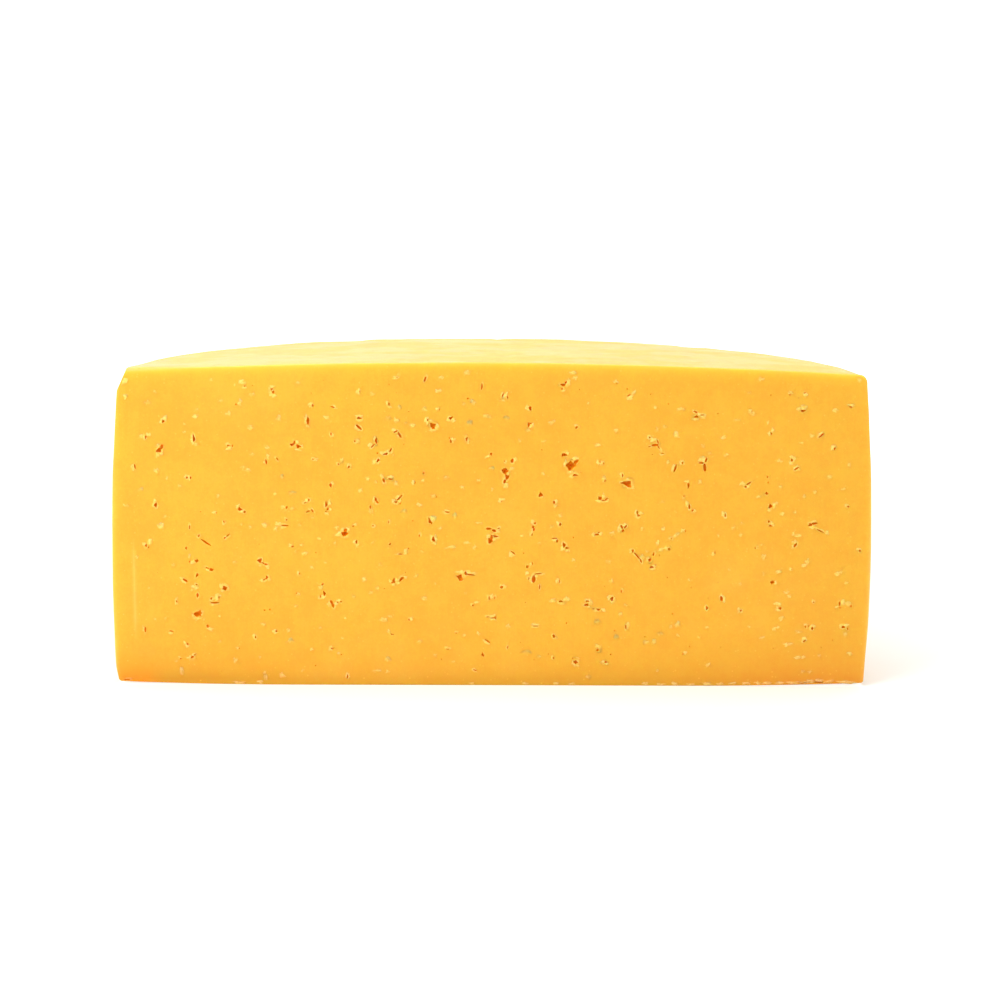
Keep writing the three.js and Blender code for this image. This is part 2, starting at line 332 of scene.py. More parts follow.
    (-66, 64, 1.5, 0.5, 20, 2), (-64.3, 64.3, 0.5, 1.5, 30, 2), (-73.7, 61, 0.7, 0.8, 0, 3),
    (-74.4, 58.9, 2.4, 0.5, -4, 2), (-59.4, 66.6, 0.9, 1.9, 0, 3), (-58.8, 65, 1, 1, 0, 3),
    (-59.4, 64, 0.6, 0.7, 0, 3), (-52.9, 55.9, 2.5, 2, 0, 3), (-52.5, 57.2, 1.1, 1.6, 0, 2),
    (-48.6, 53.1, 0.9, 1.4, 0, 3), (-49.7, 58.8, 0.7, 0.6, 0, 3), (-41.6, 68.6, 0.8, 1.6, 10, 2),
    (-41, 67.6, 0.8, 1.2, 45, 2), (-43.5, 65.8, 0.5, 1.4, 0, 2), (-34.4, 67.7, 1.5, 0.7, 0, 3),
    (-33, 69.3, 0.5, 3, -42, 2), (-32.8, 67.1, 0.5, 0.5, 0, 3), (-42.6, 59, 0.8, 0.6, 0, 3),
    (-37, 60.4, 0.35, 1.2, 0, 2), (-28.3, 60.9, 0.5, 0.5, 0, 4), (-36.5, 52.3, 0.7, 1.1, -25, 3),
    (-29.8, 50.8, 0.5, 0.5, 0, 3), (-32.8, 48.7, 1.8, 0.35, 0, 2), (-71.6, 51.2, 1, 0.8, -20, 3),
    (-69.2, 41.3, 0.7, 0.8, 0, 3), (-35.1, 38.9, 0.9, 2.2, 0, 3), (-35.6, 38.1, 1, 0.6, 0, 2),
    (-32.3, 39.6, 2.4, 1, 38, 3), (-27.5, 74.7, 0.4, 0.7, 0, 2), (-60.9, 37.4, 0.9, 0.6, 45, 2),
    (-60.3, 34, 0.9, 2, 10, 3), (-61.7, 32.8, 0.6, 0.9, 0, 3), (-57.8, 30.9, 0.9, 1.5, 25, 2),
    (-57.2, 29.6, 0.9, 1.9, 15, 2), (-54.3, 31, 0.8, 0.6, 0, 3), (-55.4, 30.8, 0.7, 0.35, 10, 2),
    (-70.4, 34, 0.5, 0.5, 0, 3), (-77.8, 20, 1.1, 0.8, -20, 3), (-35.8, 19, 1.2, 0.4, -20, 2),
    (-57.6, 13.7, 1.1, 0.5, 0, 2), (-54.2, 11.3, 0.5, 0.5, 0, 3), (-63.7, 7.2, 0.5, 0.6, 0, 3),
    (-52.1, 3.2, 0.45, 1.7, 0, 2), (-29.6, 24.5, 0.5, 0.9, 0, 2),
    # near the left-hand rind
    (-117.3, 96.2, 0.9, 1.3, 0, 3), (-123.7, 90.5, 0.7, 1.5, 0, 3), (-106.5, 90.2, 0.9, 2.8, 5, 3),
    (-119, 85.8, 1.9, 1.9, 0, 3), (-118, 87.1, 0.9, 1.9, -20, 2), (-88, 109, 0.8, 0.5, 0, 2),
    (-91.2, 102.5, 0.7, 0.6, 0, 3), (-94.3, 87.7, 1, 0.8, 0, 3), (-92.7, 87.6, 0.5, 1, 0, 2),
    (-127.8, 79.9, 0.5, 2, 10, 2), (-109.2, 76, 1, 1, 0, 3), (-107.9, 76, 0.5, 1.1, 0, 2),
    (-80.8, 82, 0.6, 1.9, 5, 2), (-120.6, 66, 1.1, 2, 0, 3), (-90.4, 64.7, 1.7, 1.2, -25, 3),
    (-88.7, 63.7, 0.9, 1, 0, 3), (-98.8, 63.3, 0.4, 0.6, 0, 3), (-96.2, 60.1, 0.6, 0.9, 15, 2),
    (-108.6, 58, 0.4, 1.7, 0, 2), (-105.3, 54.9, 0.5, 1.3, -25, 2), (-102.9, 52.5, 3.4, 0.7, -35, 2),
    (-96, 54.2, 1, 0.7, 20, 3), (-94.9, 55.1, 1.4, 0.35, 45, 2), (-124.4, 51.2, 1, 1.3, 0, 3),
    (-123.6, 50.5, 0.7, 0.6, 0, 3), (-110, 50.3, 0.7, 1.1, 10, 3), (-106.2, 45.7, 1.4, 1.2, 0, 4),
    (-108.8, 45.4, 0.5, 0.7, 0, 2), (-101, 42.5, 1.8, 1.1, -5, 4), (-102.4, 43.1, 1.4, 0.4, -20, 2),
    (-106.2, 40.5, 0.8, 1.7, -25, 3), (-83.5, 45.9, 1.6, 1.9, 10, 3), (-82.3, 45, 1.6, 0.4, -30, 2),
    (-81.2, 44.6, 1.2, 0.8, 0, 3), (-81, 39.8, 0.9, 1.4, 0, 3), (-82, 39, 1.2, 0.4, 35, 2),
    (-110.5, 38.5, 2, 0.8, -32, 2), (-106.2, 33, 0.7, 1.8, -5, 2), (-106.5, 37, 0.8, 0.5, 0, 2),
    (-96.3, 35.7, 1.7, 2, 25, 4), (-100, 30.3, 2.8, 0.6, 3, 2), (-101.2, 31.9, 0.7, 1.2, -30, 2),
    (-98.4, 32.3, 0.4, 1.1, 0, 2), (-106.4, 26, 2.4, 2.2, 0, 5), (-105.6, 26.6, 1.7, 1.7, 0, 4),
    (-102.7, 21.5, 0.7, 1.4, 15, 2), (-125.4, 20.2, 0.4, 2.1, 0, 2), (-116, 19.7, 1.5, 0.5, -15, 2),
    (-110.1, 15, 0.8, 0.9, 0, 4), (-108.5, 10.1, 1.2, 0.9, 35, 3), (-107.6, 11, 0.9, 0.4, 45, 2),
    (-112.7, 9.5, 0.6, 0.5, 0, 2), (-113.8, 30.7, 0.5, 1.1, 20, 2), (-85.4, 17.7, 0.6, 1.3, 0, 3),
    (-91.3, 13.5, 0.4, 0.5, 0, 3), (-82, 27.7, 0.7, 0.5, 0, 2), (-80, 27.9, 0.5, 0.7, 0, 2),
    # under the torn lower edge
    (119.6, 1.9, 3, 0.5, -4, 2), (114.2, 1.6, 2.4, 0.3, 8, 2), (-132.3, 1.6, 2, 0.4, 0, 2),
)

# The flaps: thin lips of curd that the wire dragged over an eye, or left where it closed one.
# Each is across, up, wide, tall (mm), turned (degrees), and how far it stands out, as a share.
flaps = (
    # the middle of the face
    (1.6, 56.9, 2, 0.7, 0, 1), (-1.1, 55.3, 1, 1, 0, 1), (1, 54.2, 0.9, 0.8, 0, 0.7),
    (2.4, 57.8, 1, 0.8, 0, 0.6), (5.4, 78.5, 0.8, 1.4, 0, 1), (5, 73.9, 1, 1.4, 0, 1),
    (8.3, 83.4, 1.3, 1, 30, 0.8), (7, 80, 1.4, 0.8, 0, 0.6), (-11, 42.2, 2.4, 0.9, 0, 0.7),
    (-8, 42, 2.4, 0.7, -25, 1), (-6.2, 41.7, 1.8, 0.5, 0, 0.7), (16.3, 40.4, 0.6, 1.6, 0, 0.9),
    (14.4, 39.4, 0.9, 1.8, 0, 0.9), (13, 41.7, 0.8, 1.2, 20, 0.7), (18.2, 41.7, 1.6, 0.5, 0, 0.7),
    (14.3, 45.2, 0.6, 1.4, 0, 0.6), (14.8, 60.8, 1, 0.9, 0, 1),
    (14.7, 57.2, 0.5, 1.6, 0, 0.6), (17.6, 69.8, 1.4, 0.5, 0, 0.5), (23.1, 68, 0.9, 1.6, 0, 0.7),
    (22.8, 66.4, 0.9, 1.2, 0, 0.6), (23.9, 60.3, 0.9, 1.1, 0, 1), (23, 54, 1, 0.9, -35, 0.8),
    (25.7, 51, 1.2, 1.2, 0, 1), (27.6, 50.3, 1.2, 0.6, 0, 0.8),
    (7.5, 48.7, 2, 0.9, -40, 0.9), (-16, 64.7, 1.7, 0.5, -10, 0.9), (-21.2, 61.4, 1.5, 2, 0, 0.7),
    (-20.1, 54.2, 0.9, 2, 0, 0.7), (-20.6, 52.7, 1, 0.6, 0, 0.6), (-20.8, 69.9, 1.2, 0.9, 0, 0.6),
    (3.8, 68.9, 1.7, 0.7, 0, 0.8), (2.9, 68.1, 0.9, 0.7, 0, 0.5), (-1.7, 84.3, 1.4, 0.6, 25, 0.7),
    (5, 36.5, 0.9, 1.4, 0, 0.6), (0.4, 33, 1.1, 1.8, 0, 0.7), (-5.3, 31, 2, 0.6, 15, 0.7),
    (0.6, 26, 2, 0.6, 15, 1), (0.6, 24.8, 2, 0.5, 0, 0.7), (27.2, 32.2, 1.6, 1.6, 0, 1),
    (22.5, 31.8, 1.6, 0.9, 0, 1), (25.5, 30.8, 2.2, 0.5, 0, 0.6), (16.3, 22.9, 2.2, 0.5, 0, 0.8),
    (-1.2, 15.9, 2.2, 0.6, -30, 0.8), (-16.2, 14.2, 1.2, 0.5, 0, 0.7), (23.4, 17.8, 0.7, 1, 0, 0.4),
    (24, 39.1, 0.8, 1.6, -15, 0.8), (-14.8, 51.3, 3, 0.6, 8, 0.7), (-8.7, 53, 1.9, 0.6, 0, 0.7),
    (-4.5, 60.2, 1.6, 0.6, -10, 0.6), (-6, 51, 0.6, 1.4, 0, 0.6), (-13.2, 62.3, 1, 1.8, 0, 0.4),
    (-25.8, 66.8, 1.5, 0.8, 0, 1), (-24, 32.3, 1.5, 1.1, 0, 0.7), (6.3, 21.9, 0.9, 1.4, 0, 0.5),
    (-4.8, 75.6, 1, 0.6, 0, 0.6), (13, 12.3, 2.2, 1.6, 0, 0.3), (17.7, 10.6, 1.2, 0.8, 0, 0.4),
    (-5.5, 5.3, 1.6, 0.5, -25, 0.5), (-26, 16, 1.5, 1.2, 0, 0.4),
    # above the middle
    (-18.3, 112.4, 1.6, 1, 0, 0.5), (-19.3, 107.8, 1.7, 0.8, 10, 0.9), (-9, 114, 1.6, 1.8, 0, 0.4),
    (4.6, 106.4, 1.1, 2, -25, 0.9), (3.8, 104.6, 1.6, 0.5, 0, 0.6), (-6.8, 103.5, 1, 2, 25, 0.6),
    (26.8, 110.6, 0.9, 2.4, -15, 0.7), (25.2, 108.3, 1.4, 0.7, 0, 0.7), (12.4, 101.9, 1.1, 1.4, 0, 0.8),
    (14.1, 95.5, 0.8, 1.4, -20, 0.8), (12.9, 93.8, 1.4, 0.7, 0, 0.5), (-23.3, 96.9, 1, 1.8, 0, 0.9),
    (-21.2, 93.5, 2, 0.5, 0, 0.6), (-19.5, 94.6, 0.6, 1.6, 0, 0.7), (-22, 97, 1.6, 0.6, 0, 0.6),
    (-14.2, 97.4, 1.6, 1, 20, 0.8), (-13.8, 90.2, 0.8, 1.2, 0, 0.6), (-8.6, 89.7, 0.8, 1.4, 0, 0.7),
    (27, 85.7, 0.7, 1.2, 0, 0.7), (30, 83.9, 1.8, 0.9, 0, 1),
    (26.3, 81.7, 0.7, 1.8, 0, 0.8), (28.2, 78.9, 1.8, 0.8, -10, 0.8), (28.5, 77.3, 1.6, 0.6, 0, 0.6),
    (-19.5, 101.4, 0.9, 0.9, 0, 0.8), (-24, 101.1, 1.6, 0.9, 0, 0.6), (-2.3, 99, 1.6, 1, 0, 0.7),
    (-0.9, 98.5, 0.9, 0.5, 0, 0.4), (21, 96.6, 1.8, 1, 35, 0.5), (30, 95.9, 1, 0.4, 0, 0.8),
    (0, 80, 1.2, 1, 0, 0.4), (5, 98, 1.4, 1.2, 0, 0.3), (-8, 96, 1.4, 2.2, 0, 0.3),
    # to the right
    (43.7, 111.6, 1.2, 0.9, 0, 0.8), (48.9, 105.8, 2.1, 1, 35, 1), (50, 107.4, 0.6, 2, -25, 0.6),
    (28.4, 114.6, 1.3, 0.9, 0, 0.9), (29.2, 112.8, 1.2, 0.9, 0, 0.7), (73.8, 100.3, 1.6, 0.5, -20, 0.9),
    (75.2, 99.2, 1.3, 0.8, 0, 0.8), (72.6, 98.4, 1.5, 0.7, 0, 0.6), (57.6, 90.8, 1.8, 1.4, 0, 0.8),
    (60.4, 87.3, 0.6, 1.8, 30, 0.7), (60.7, 85.6, 1.4, 0.5, 0, 0.7), (58.9, 94.6, 1.4, 1, 25, 0.5),
    (66, 92.6, 1.5, 1.8, 0, 0.8), (44.4, 94.2, 1, 1.1, 0, 0.8), (37.9, 88.8, 1.5, 0.8, 0, 0.8),
    (38.1, 82.4, 0.7, 1.3, 0, 1), (39.3, 82.3, 0.6, 0.9, 0, 0.8), (65, 80.5, 0.8, 2.4, -12, 0.9),
    (67.5, 82.7, 0.7, 1.2, 0, 0.8), (75.3, 84.1, 2.2, 1.4, 38, 1), (46.3, 78, 0.7, 1.6, 15, 0.9),
    (48.8, 76.4, 1.3, 0.7, 0, 1), (50.5, 73.6, 1.2, 1, -35, 0.7), (67, 102.1, 2.1, 0.7, 5, 0.6),
    (40, 76.6, 0.7, 1.4, -25, 0.6), (40.1, 70.1, 0.8, 1.8, 0, 1), (38.5, 68.3, 1.6, 0.6, -20, 0.8),
    (41.2, 68.5, 1.2, 0.6, 20, 0.6), (51.8, 64.2, 0.6, 1.6, 0, 0.8), (53.5, 64.1, 1.3, 0.7, 0, 0.9),
    (52.8, 62.7, 1.2, 0.5, 0, 0.6), (46, 58.3, 0.9, 2.6, 0, 0.9), (47.8, 59.7, 0.7, 1, 0, 1),
    (36.8, 56.2, 0.8, 0.9, 0, 0.8), (39.4, 56.5, 0.8, 1.1, 0, 0.8), (43.5, 56.6, 1.2, 1.2, 0, 0.6),
    (70, 76, 1.3, 0.9, 0, 0.8), (70.1, 67.6, 0.7, 1.6, 0, 0.8), (72.8, 65.1, 0.8, 1, 0, 0.7),
    (74.7, 75.6, 1, 1.2, 0, 0.6), (61.7, 58.4, 0.8, 1.4, 0, 0.6), (68.8, 58, 1.1, 0.9, 0, 0.8),
    (66.2, 56.1, 2.6, 0.5, 38, 0.7), (64.3, 55.1, 0.8, 0.7, 0, 0.6), (63.1, 51.4, 1.3, 1, 0, 0.9),
    (61.3, 51, 1.4, 0.8, 0, 0.8), (60.1, 53.5, 0.6, 1.4, 0, 0.9), (50.3, 50.3, 0.6, 1.2, 0, 0.7),
    (54.6, 47.9, 0.6, 1.6, 10, 0.5), (56.5, 47.2, 0.6, 1.2, 0, 0.9), (58.8, 44.6, 1, 0.8, 30, 0.9),
    (80, 49.4, 0.9, 1.1, 0, 0.8), (42.3, 46.3, 1.5, 0.8, 0, 0.4), (42.9, 33, 1.1, 1.9, -20, 1),
    (44.6, 32.2, 0.6, 1.6, 0, 0.7), (36.1, 31.1, 0.8, 1.7, 0, 0.8), (35, 29.6, 1.6, 0.5, 0, 0.5),
    (40.8, 28.5, 1.2, 0.7, -20, 0.9), (38, 28, 1.4, 0.5, 0, 0.6), (47.1, 26.9, 0.9, 1.4, 0, 0.7),
    (49.7, 22.6, 0.8, 1.8, 0, 0.7), (38.8, 23.9, 1.4, 1.4, 0, 0.4), (39.2, 14.8, 1.8, 0.9, -20, 0.8),
    (41, 9.1, 1.4, 0.6, 20, 0.8), (42, 8.4, 1.3, 0.5, 0, 0.7), (30.3, 8.4, 1, 1.4, 35, 0.9),
    (31.5, 7.6, 1.6, 0.6, 0, 0.6), (31.5, 10.4, 1.6, 0.6, 0, 0.4), (67.6, 22.7, 1.6, 2.4, -25, 0.5),
    (65.4, 22, 0.8, 1, 0, 0.4), (56.8, 16.4, 1.4, 1.2, 20, 0.5), (59.2, 16.4, 0.8, 1.8, 0, 0.5),
    (70.7, 12.7, 0.9, 0.9, 0, 0.7), (79, 8, 2, 0.7, 30, 0.7), (45.6, 18, 1, 1.8, 0, 0.4),
    (61.7, 19.5, 1.4, 1, 0, 0.4), (35.5, 3.3, 1.4, 1.2, 0, 0.4), (82.6, 92, 1.4, 0.9, 0, 0.8),
    # near the right-hand rind
    (106, 108.2, 1.3, 0.6, 0, 0.9), (111.4, 107.4, 1, 1, 0, 0.8), (110.8, 102.9, 2, 1.1, 5, 1),
    (109.1, 102.2, 0.7, 1.3, 0, 0.7), (99.9, 94.6, 0.7, 1.3, -15, 0.9), (98.8, 93.4, 0.6, 1.2, 0, 0.7),
    (116.7, 93.2, 2, 0.7, 40, 0.9), (114, 92.8, 1.3, 1, 0, 0.6), (121.7, 88.5, 0.8, 1.6, -20, 0.9),
    (107, 85, 1.2, 0.6, 0, 1), (108.1, 84.5, 0.6, 1, 0, 0.9), (107, 82.7, 1.1, 0.9, -30, 0.7),
    (108.5, 81.3, 1.7, 0.5, 35, 0.9), (109.5, 80.3, 1.4, 0.5, 20, 0.6), (127.8, 103.9, 1.9, 0.6, -5, 0.9),
    (122.2, 101.9, 1.3, 1.3, 0, 0.7), (91.7, 101.3, 1, 1.3, 25, 0.8), (92.8, 100.4, 1.2, 0.8, 0, 0.5),
    (95.3, 112.8, 1.7, 1.2, 0, 0.6), (89.7, 75.2, 1.4, 0.8, 0, 0.8), (92, 74.4, 1, 0.6, 30, 0.9),
    (95.4, 70.6, 1.6, 0.5, 0, 0.7), (101.3, 67.2, 1, 1.3, -30, 0.8), (102.1, 68, 1, 1, 0, 0.5),
    (99.8, 65.6, 0.8, 0.8, 0, 0.6), (100.7, 60.9, 1, 0.7, -30, 1), (101.3, 60.4, 0.5, 0.8, 0, 0.7),
    (83.3, 63.9, 0.8, 1.6, 0, 0.8), (115.6, 59.5, 1.6, 0.8, 10, 0.9), (115.7, 61.6, 1.9, 0.4, 10, 0.7),
    (120.8, 57.5, 1, 1.1, 0, 0.9), (109.1, 53.8, 1.3, 1.4, -35, 1), (108.7, 52.4, 0.6, 1, 0, 0.7),
    (104.4, 64.3, 1.3, 0.8, 0, 0.8), (108.6, 57, 0.7, 1.2, 0, 0.7), (110.3, 56.4, 2.4, 0.5, 0, 0.7),
    (132.3, 51.6, 0.9, 0.7, 0, 0.7), (127.2, 67.5, 0.7, 0.6, 0, 0.6), (114, 46.8, 0.8, 1.5, 0, 1),
    (113, 45.5, 1.6, 0.8, 20, 0.9), (103.7, 43, 1.6, 0.8, 35, 0.9), (108.1, 44, 1, 0.8, 0, 0.8),
    (98.1, 48.2, 1, 1.8, 0, 0.6), (95.7, 52, 0.8, 0.8, 0, 0.6), (97.4, 52.9, 1, 0.7, 0, 0.4),
    (125, 42.2, 1.4, 0.9, 0, 0.8), (126.2, 43, 1.2, 0.7, 30, 0.5), (102.9, 39, 0.6, 1.2, 0, 0.9),
    (128.4, 39, 1.2, 0.6, 0, 0.6), (84.3, 32.8, 0.8, 1.9, 0, 0.7), (89.8, 28.6, 0.6, 1.4, 0, 0.8),
    (103.8, 31, 2.2, 0.8, -15, 0.9), (104, 29.1, 0.8, 1.4, 25, 0.9), (105.4, 25.6, 0.9, 1.8, -25, 0.9),
    (104.2, 22.4, 0.8, 0.6, 20, 0.7), (103, 21.8, 1.2, 0.9, 25, 0.8), (98.4, 18.4, 1.2, 0.8, 0, 0.6),
    (107, 35.4, 1.5, 0.9, 0, 0.6), (108, 33.9, 1, 1, 30, 0.7), (127.3, 31.7, 1, 1.6, 0, 0.9),
    (129.3, 31.2, 1.6, 1.5, 0, 0.7), (125.3, 30, 0.8, 0.6, 0, 0.6), (114.2, 23.6, 1.3, 0.5, 0, 0.9),
    (117.3, 22.9, 0.6, 0.6, 0, 0.7), (128.4, 23.5, 2.4, 0.8, 0, 1), (127, 22.9, 0.6, 1, 0, 0.7),
    (128.9, 19.5, 0.9, 1.8, 0, 0.4), (114, 18.1, 1.1, 1.3, 20, 0.9), (107.5, 15.8, 1.5, 1.2, 10, 0.9),
    (109, 16.2, 1.6, 0.5, 10, 0.7), (111.7, 11.1, 1.9, 0.8, 0, 0.9), (113.6, 11.2, 1.2, 0.6, 0, 0.6),
    (111.8, 20.6, 2, 0.9, 15, 0.5), (130.6, 12.6, 1.2, 1.2, 0, 0.6), (116.5, 5.7, 1.8, 0.8, 30, 0.5),
    (130.4, 112.6, 2, 0.7, -38, 0.6), (87.2, 98, 2.2, 0.9, 0, 0.3),
    # to the left
    (-78.2, 108.8, 1.3, 0.5, 0, 0.8), (-78.1, 105.6, 1.4, 1.2, 0, 1), (-79, 106.6, 0.7, 0.7, 0, 0.7),
    (-64.9, 102.3, 0.7, 1.4, 0, 0.8), (-56.1, 101.7, 1.3, 0.7, -10, 1), (-47.4, 98.5, 1.9, 0.6, 0, 1),
    (-48.4, 94.5, 0.8, 1.3, 0, 1), (-47.6, 93.7, 1.2, 0.4, -30, 0.6), (-66.4, 97.2, 0.8, 2.2, 0, 1),
    (-65.9, 94.9, 0.8, 0.8, 0, 0.6), (-69.7, 89, 0.8, 0.7, -35, 0.9), (-68.1, 87.3, 0.7, 1.2, 0, 0.6),
    (-69.4, 86.4, 1.8, 0.6, 0, 0.7), (-57, 91.7, 1, 1.4, 0, 0.6), (-48.2, 89.6, 1.4, 0.8, 0, 0.7),
    (-42, 90.4, 0.6, 1.7, 0, 0.8), (-43.4, 88.2, 1.3, 1, 0, 1), (-39.4, 85.4, 1.2, 0.6, 0, 1),
    (-37.2, 86, 1.3, 0.6, 40, 0.9), (-42, 82.3, 1.7, 1.2, 40, 0.9), (-34.9, 93.8, 1.4, 0.7, 0, 0.9),
    (-33.5, 91.4, 0.6, 1.4, 20, 0.5), (-37.4, 103.3, 0.6, 1.4, 0, 0.7), (-36.5, 101.9, 0.9, 0.5, 0, 0.7),
    (-53.8, 82.6, 0.8, 1.5, -25, 0.6), (-50.8, 79.8, 0.7, 0.5, 0, 0.6), (-63.2, 82.8, 1.3, 0.8, 20, 0.7),
    (-34.3, 112.4, 1.4, 0.8, 15, 1), (-47.8, 107.2, 0.8, 1.6, -15, 0.9), (-59, 98, 1.2, 1.1, 0, 0.8),
    (-76.2, 97.3, 1.1, 1.9, 0, 0.6), (-42.6, 106.5, 1.5, 0.6, 0, 0.5), (-34.2, 97.3, 1.2, 1, 0, 0.8),
    (-28.6, 95.3, 1.5, 0.9, 0, 0.8), (-33, 101.5, 0.8, 1.6, 0, 0.4), (-37.2, 97.7, 1.2, 1, 0, 0.3),
    (-36.4, 76.7, 1.7, 0.8, 0, 1), (-39.3, 76.6, 0.5, 1.4, 20, 0.9), (-34.2, 74.3, 1, 1.6, 0, 0.6),
    (-57, 74.1, 0.7, 1.2, 0, 0.6), (-66.5, 68, 1.3, 0.8, 35, 0.9), (-74.8, 65.6, 1.4, 0.7, 0, 0.8),
    (-71.6, 65, 1.6, 0.5, 0, 0.5), (-65.4, 64.9, 0.8, 0.6, 0, 0.5), (-76.9, 59.4, 1.3, 0.9, 0, 1),
    (-77.7, 57.6, 0.7, 1.2, -25, 0.7), (-75, 58, 1.6, 0.5, 10, 0.6), (-58.2, 67, 0.8, 1.7, 0, 1),
    (-58, 64.8, 0.6, 0.8, 0, 0.8), (-59.2, 63.2, 1, 0.5, 0, 0.7), (-54.8, 55.8, 1.9, 1, 15, 1),
    (-53.7, 57.2, 0.7, 1.6, -30, 0.7), (-51.6, 57.5, 0.7, 1.2, 0, 0.7), (-49.3, 52.9, 0.6, 1.4, 0, 0.8),
    (-48.2, 51.5, 0.8, 1.3, 0, 0.6), (-49, 59.3, 1, 0.7, 0, 0.7), (-42.2, 68.3, 0.6, 1.7, 0, 0.9),
    (-43.3, 64.1, 1.2, 1.4, 0, 0.5), (-35.3, 67.9, 0.8, 0.8, 0, 1), (-33.7, 69.6, 0.6, 1.4, -40, 0.9),
    (-33, 68, 0.5, 1.3, -30, 0.8), (-31.5, 64, 1.2, 1.2, 0, 0.3), (-30.8, 49.4, 0.9, 1.7, 0, 0.9),
    (-33.8, 48.5, 1.7, 0.5, 0, 0.5), (-72.4, 51.4, 0.9, 0.9, 0, 0.9), (-67.4, 48.3, 1.7, 1.3, 0, 0.6),
    (-69.8, 41.5, 0.5, 0.9, 0, 0.6), (-34, 39, 0.9, 0.9, 30, 1), (-33.7, 38, 1, 1, 0, 0.6),
    (-36.4, 38.7, 0.7, 1, 0, 0.8), (-30.9, 40, 0.9, 0.8, 0, 0.8), (-45.9, 39, 1, 1.5, 0, 0.6),
    (-28.1, 74.8, 0.7, 0.9, 0, 1), (-47, 71.7, 1.1, 1.2, 0, 0.7), (-75.2, 76.3, 0.8, 1.3, 0, 0.4),
    (-71.7, 70.5, 2, 1, 0, 0.3), (-61.6, 36, 0.9, 1.2, 0, 0.6), (-60.7, 32.5, 0.9, 0.9, 0, 1),
    (-56.2, 30.1, 0.8, 1.2, 0, 0.8), (-58.6, 29.8, 0.7, 1.4, 25, 0.7), (-55.1, 31.4, 1.2, 0.5, 15, 0.8),
    (-69.7, 33.6, 0.9, 0.8, 0, 0.5), (-41, 35.9, 1.3, 0.9, 30, 0.5), (-43.5, 34.3, 1.3, 0.5, 0, 0.5),
    (-78.6, 19.8, 1, 0.8, 0, 1), (-78, 19.2, 1.2, 0.5, 0, 0.7), (-36.9, 19.6, 0.7, 1.6, 20, 0.5),
    (-58.2, 13.1, 0.8, 0.8, 0, 0.7), (-55.2, 11.5, 0.6, 1.1, 0, 0.6), (-75.8, 3.3, 1.3, 1.7, 25, 0.7),
    (-51.6, 3.1, 0.6, 2, 0, 0.6), (-29, 24.6, 0.9, 1.3, 0, 0.8), (-38.8, 24.3, 1.8, 1.2, 0, 0.6),
    (-37.4, 9.2, 1.7, 1.6, 0, 0.5), (-41.7, 5.1, 2.4, 0.8, 15, 0.5), (-73, 15.8, 2.4, 1.6, 25, 0.3),
    # near the left-hand rind
    (-116.6, 96.8, 1, 2, 0, 0.8), (-118.2, 95.9, 0.6, 1.2, 0, 0.7), (-122.8, 91.2, 1, 1.5, -30, 0.8),
    (-125.2, 90.5, 1.5, 0.9, 20, 0.6), (-107, 89, 0.8, 1.6, 0, 0.8), (-106, 88, 1.3, 0.8, 0, 0.5),
    (-119.1, 87.2, 0.9, 1, 0, 0.7), (-118.4, 84.7, 1.2, 0.7, -20, 0.8), (-119.6, 83.7, 0.7, 1.4, 0, 0.7),
    (-88.9, 110.5, 1.8, 1, 0, 1), (-90, 102.7, 0.9, 1.8, 0, 0.7), (-94.2, 86.5, 1.7, 0.9, 15, 0.8),
    (-128.5, 79.4, 0.9, 1.8, 0, 0.7), (-108.6, 75.6, 0.8, 1, 0, 0.8), (-109.8, 76.4, 0.8, 0.7, 0, 0.9),
    (-81.1, 81.5, 0.5, 1.1, 0, 0.8), (-80.1, 83.5, 0.6, 1.4, 0, 0.6), (-120.9, 67.2, 0.6, 1.2, 0, 0.9),
    (-121.5, 65.8, 0.9, 0.8, 0, 0.9), (-91, 65.7, 1.3, 0.9, 30, 0.9), (-89.6, 63.8, 0.7, 1.4, 20, 0.9),
    (-99.7, 63.4, 1, 0.6, 0, 0.9),
    (-123.2, 52.3, 0.9, 1.9, -30, 0.9), (-125.1, 51.7, 0.7, 1, 30, 0.9), (-107.5, 45.2, 1.2, 1.1, 0, 1),
    (-108.9, 46.9, 0.4, 2, 0, 0.4), (-102, 42.2, 1.4, 0.6, -20, 0.8), (-80.7, 43.7, 1.2, 1, -20, 0.8),
    (-83.3, 44.3, 1, 0.6, 0, 0.5), (-82.6, 38.6, 1, 0.9, 0, 0.8), (-80.3, 38.9, 0.7, 0.9, 0, 0.6),
    (-119.1, 58, 1.8, 2, -30, 0.6), (-126.3, 71.2, 2, 0.9, 30, 0.3), (-131.5, 65.6, 1.6, 0.8, 0, 0.5),
    (-111.7, 38.8, 0.8, 1.4, 30, 0.9), (-110.6, 37.7, 1.3, 0.5, -30, 0.8), (-107, 35.8, 1.6, 1.3, 0, 0.9),
    (-108.2, 34.9, 0.7, 0.7, 0, 0.5), (-97.6, 36.3, 0.7, 1.6, 0, 0.9), (-97, 34.7, 1, 0.5, -30, 0.6),
    (-99.5, 31.6, 1.3, 1.8, 0, 0.8), (-98.7, 32.9, 1.2, 0.8, 0, 0.7), (-100.7, 29.7, 1.4, 0.5, 0, 0.7),
    (-106.6, 24.4, 2.4, 0.7, 10, 0.8), (-107.9, 25.4, 0.7, 1.2, 0, 0.6), (-101.9, 20.5, 1.6, 1, -20, 0.8),
    (-126, 20, 0.5, 2.4, 0, 0.5), (-116, 19, 1.2, 0.6, 0, 0.7), (-111, 15.2, 0.8, 1.1, 0, 0.9),
    (-109.7, 9.8, 1.1, 1, 25, 1), (-108.2, 10.9, 0.6, 1, -20, 0.7), (-113.3, 9.8, 0.8, 0.6, 0, 0.5),
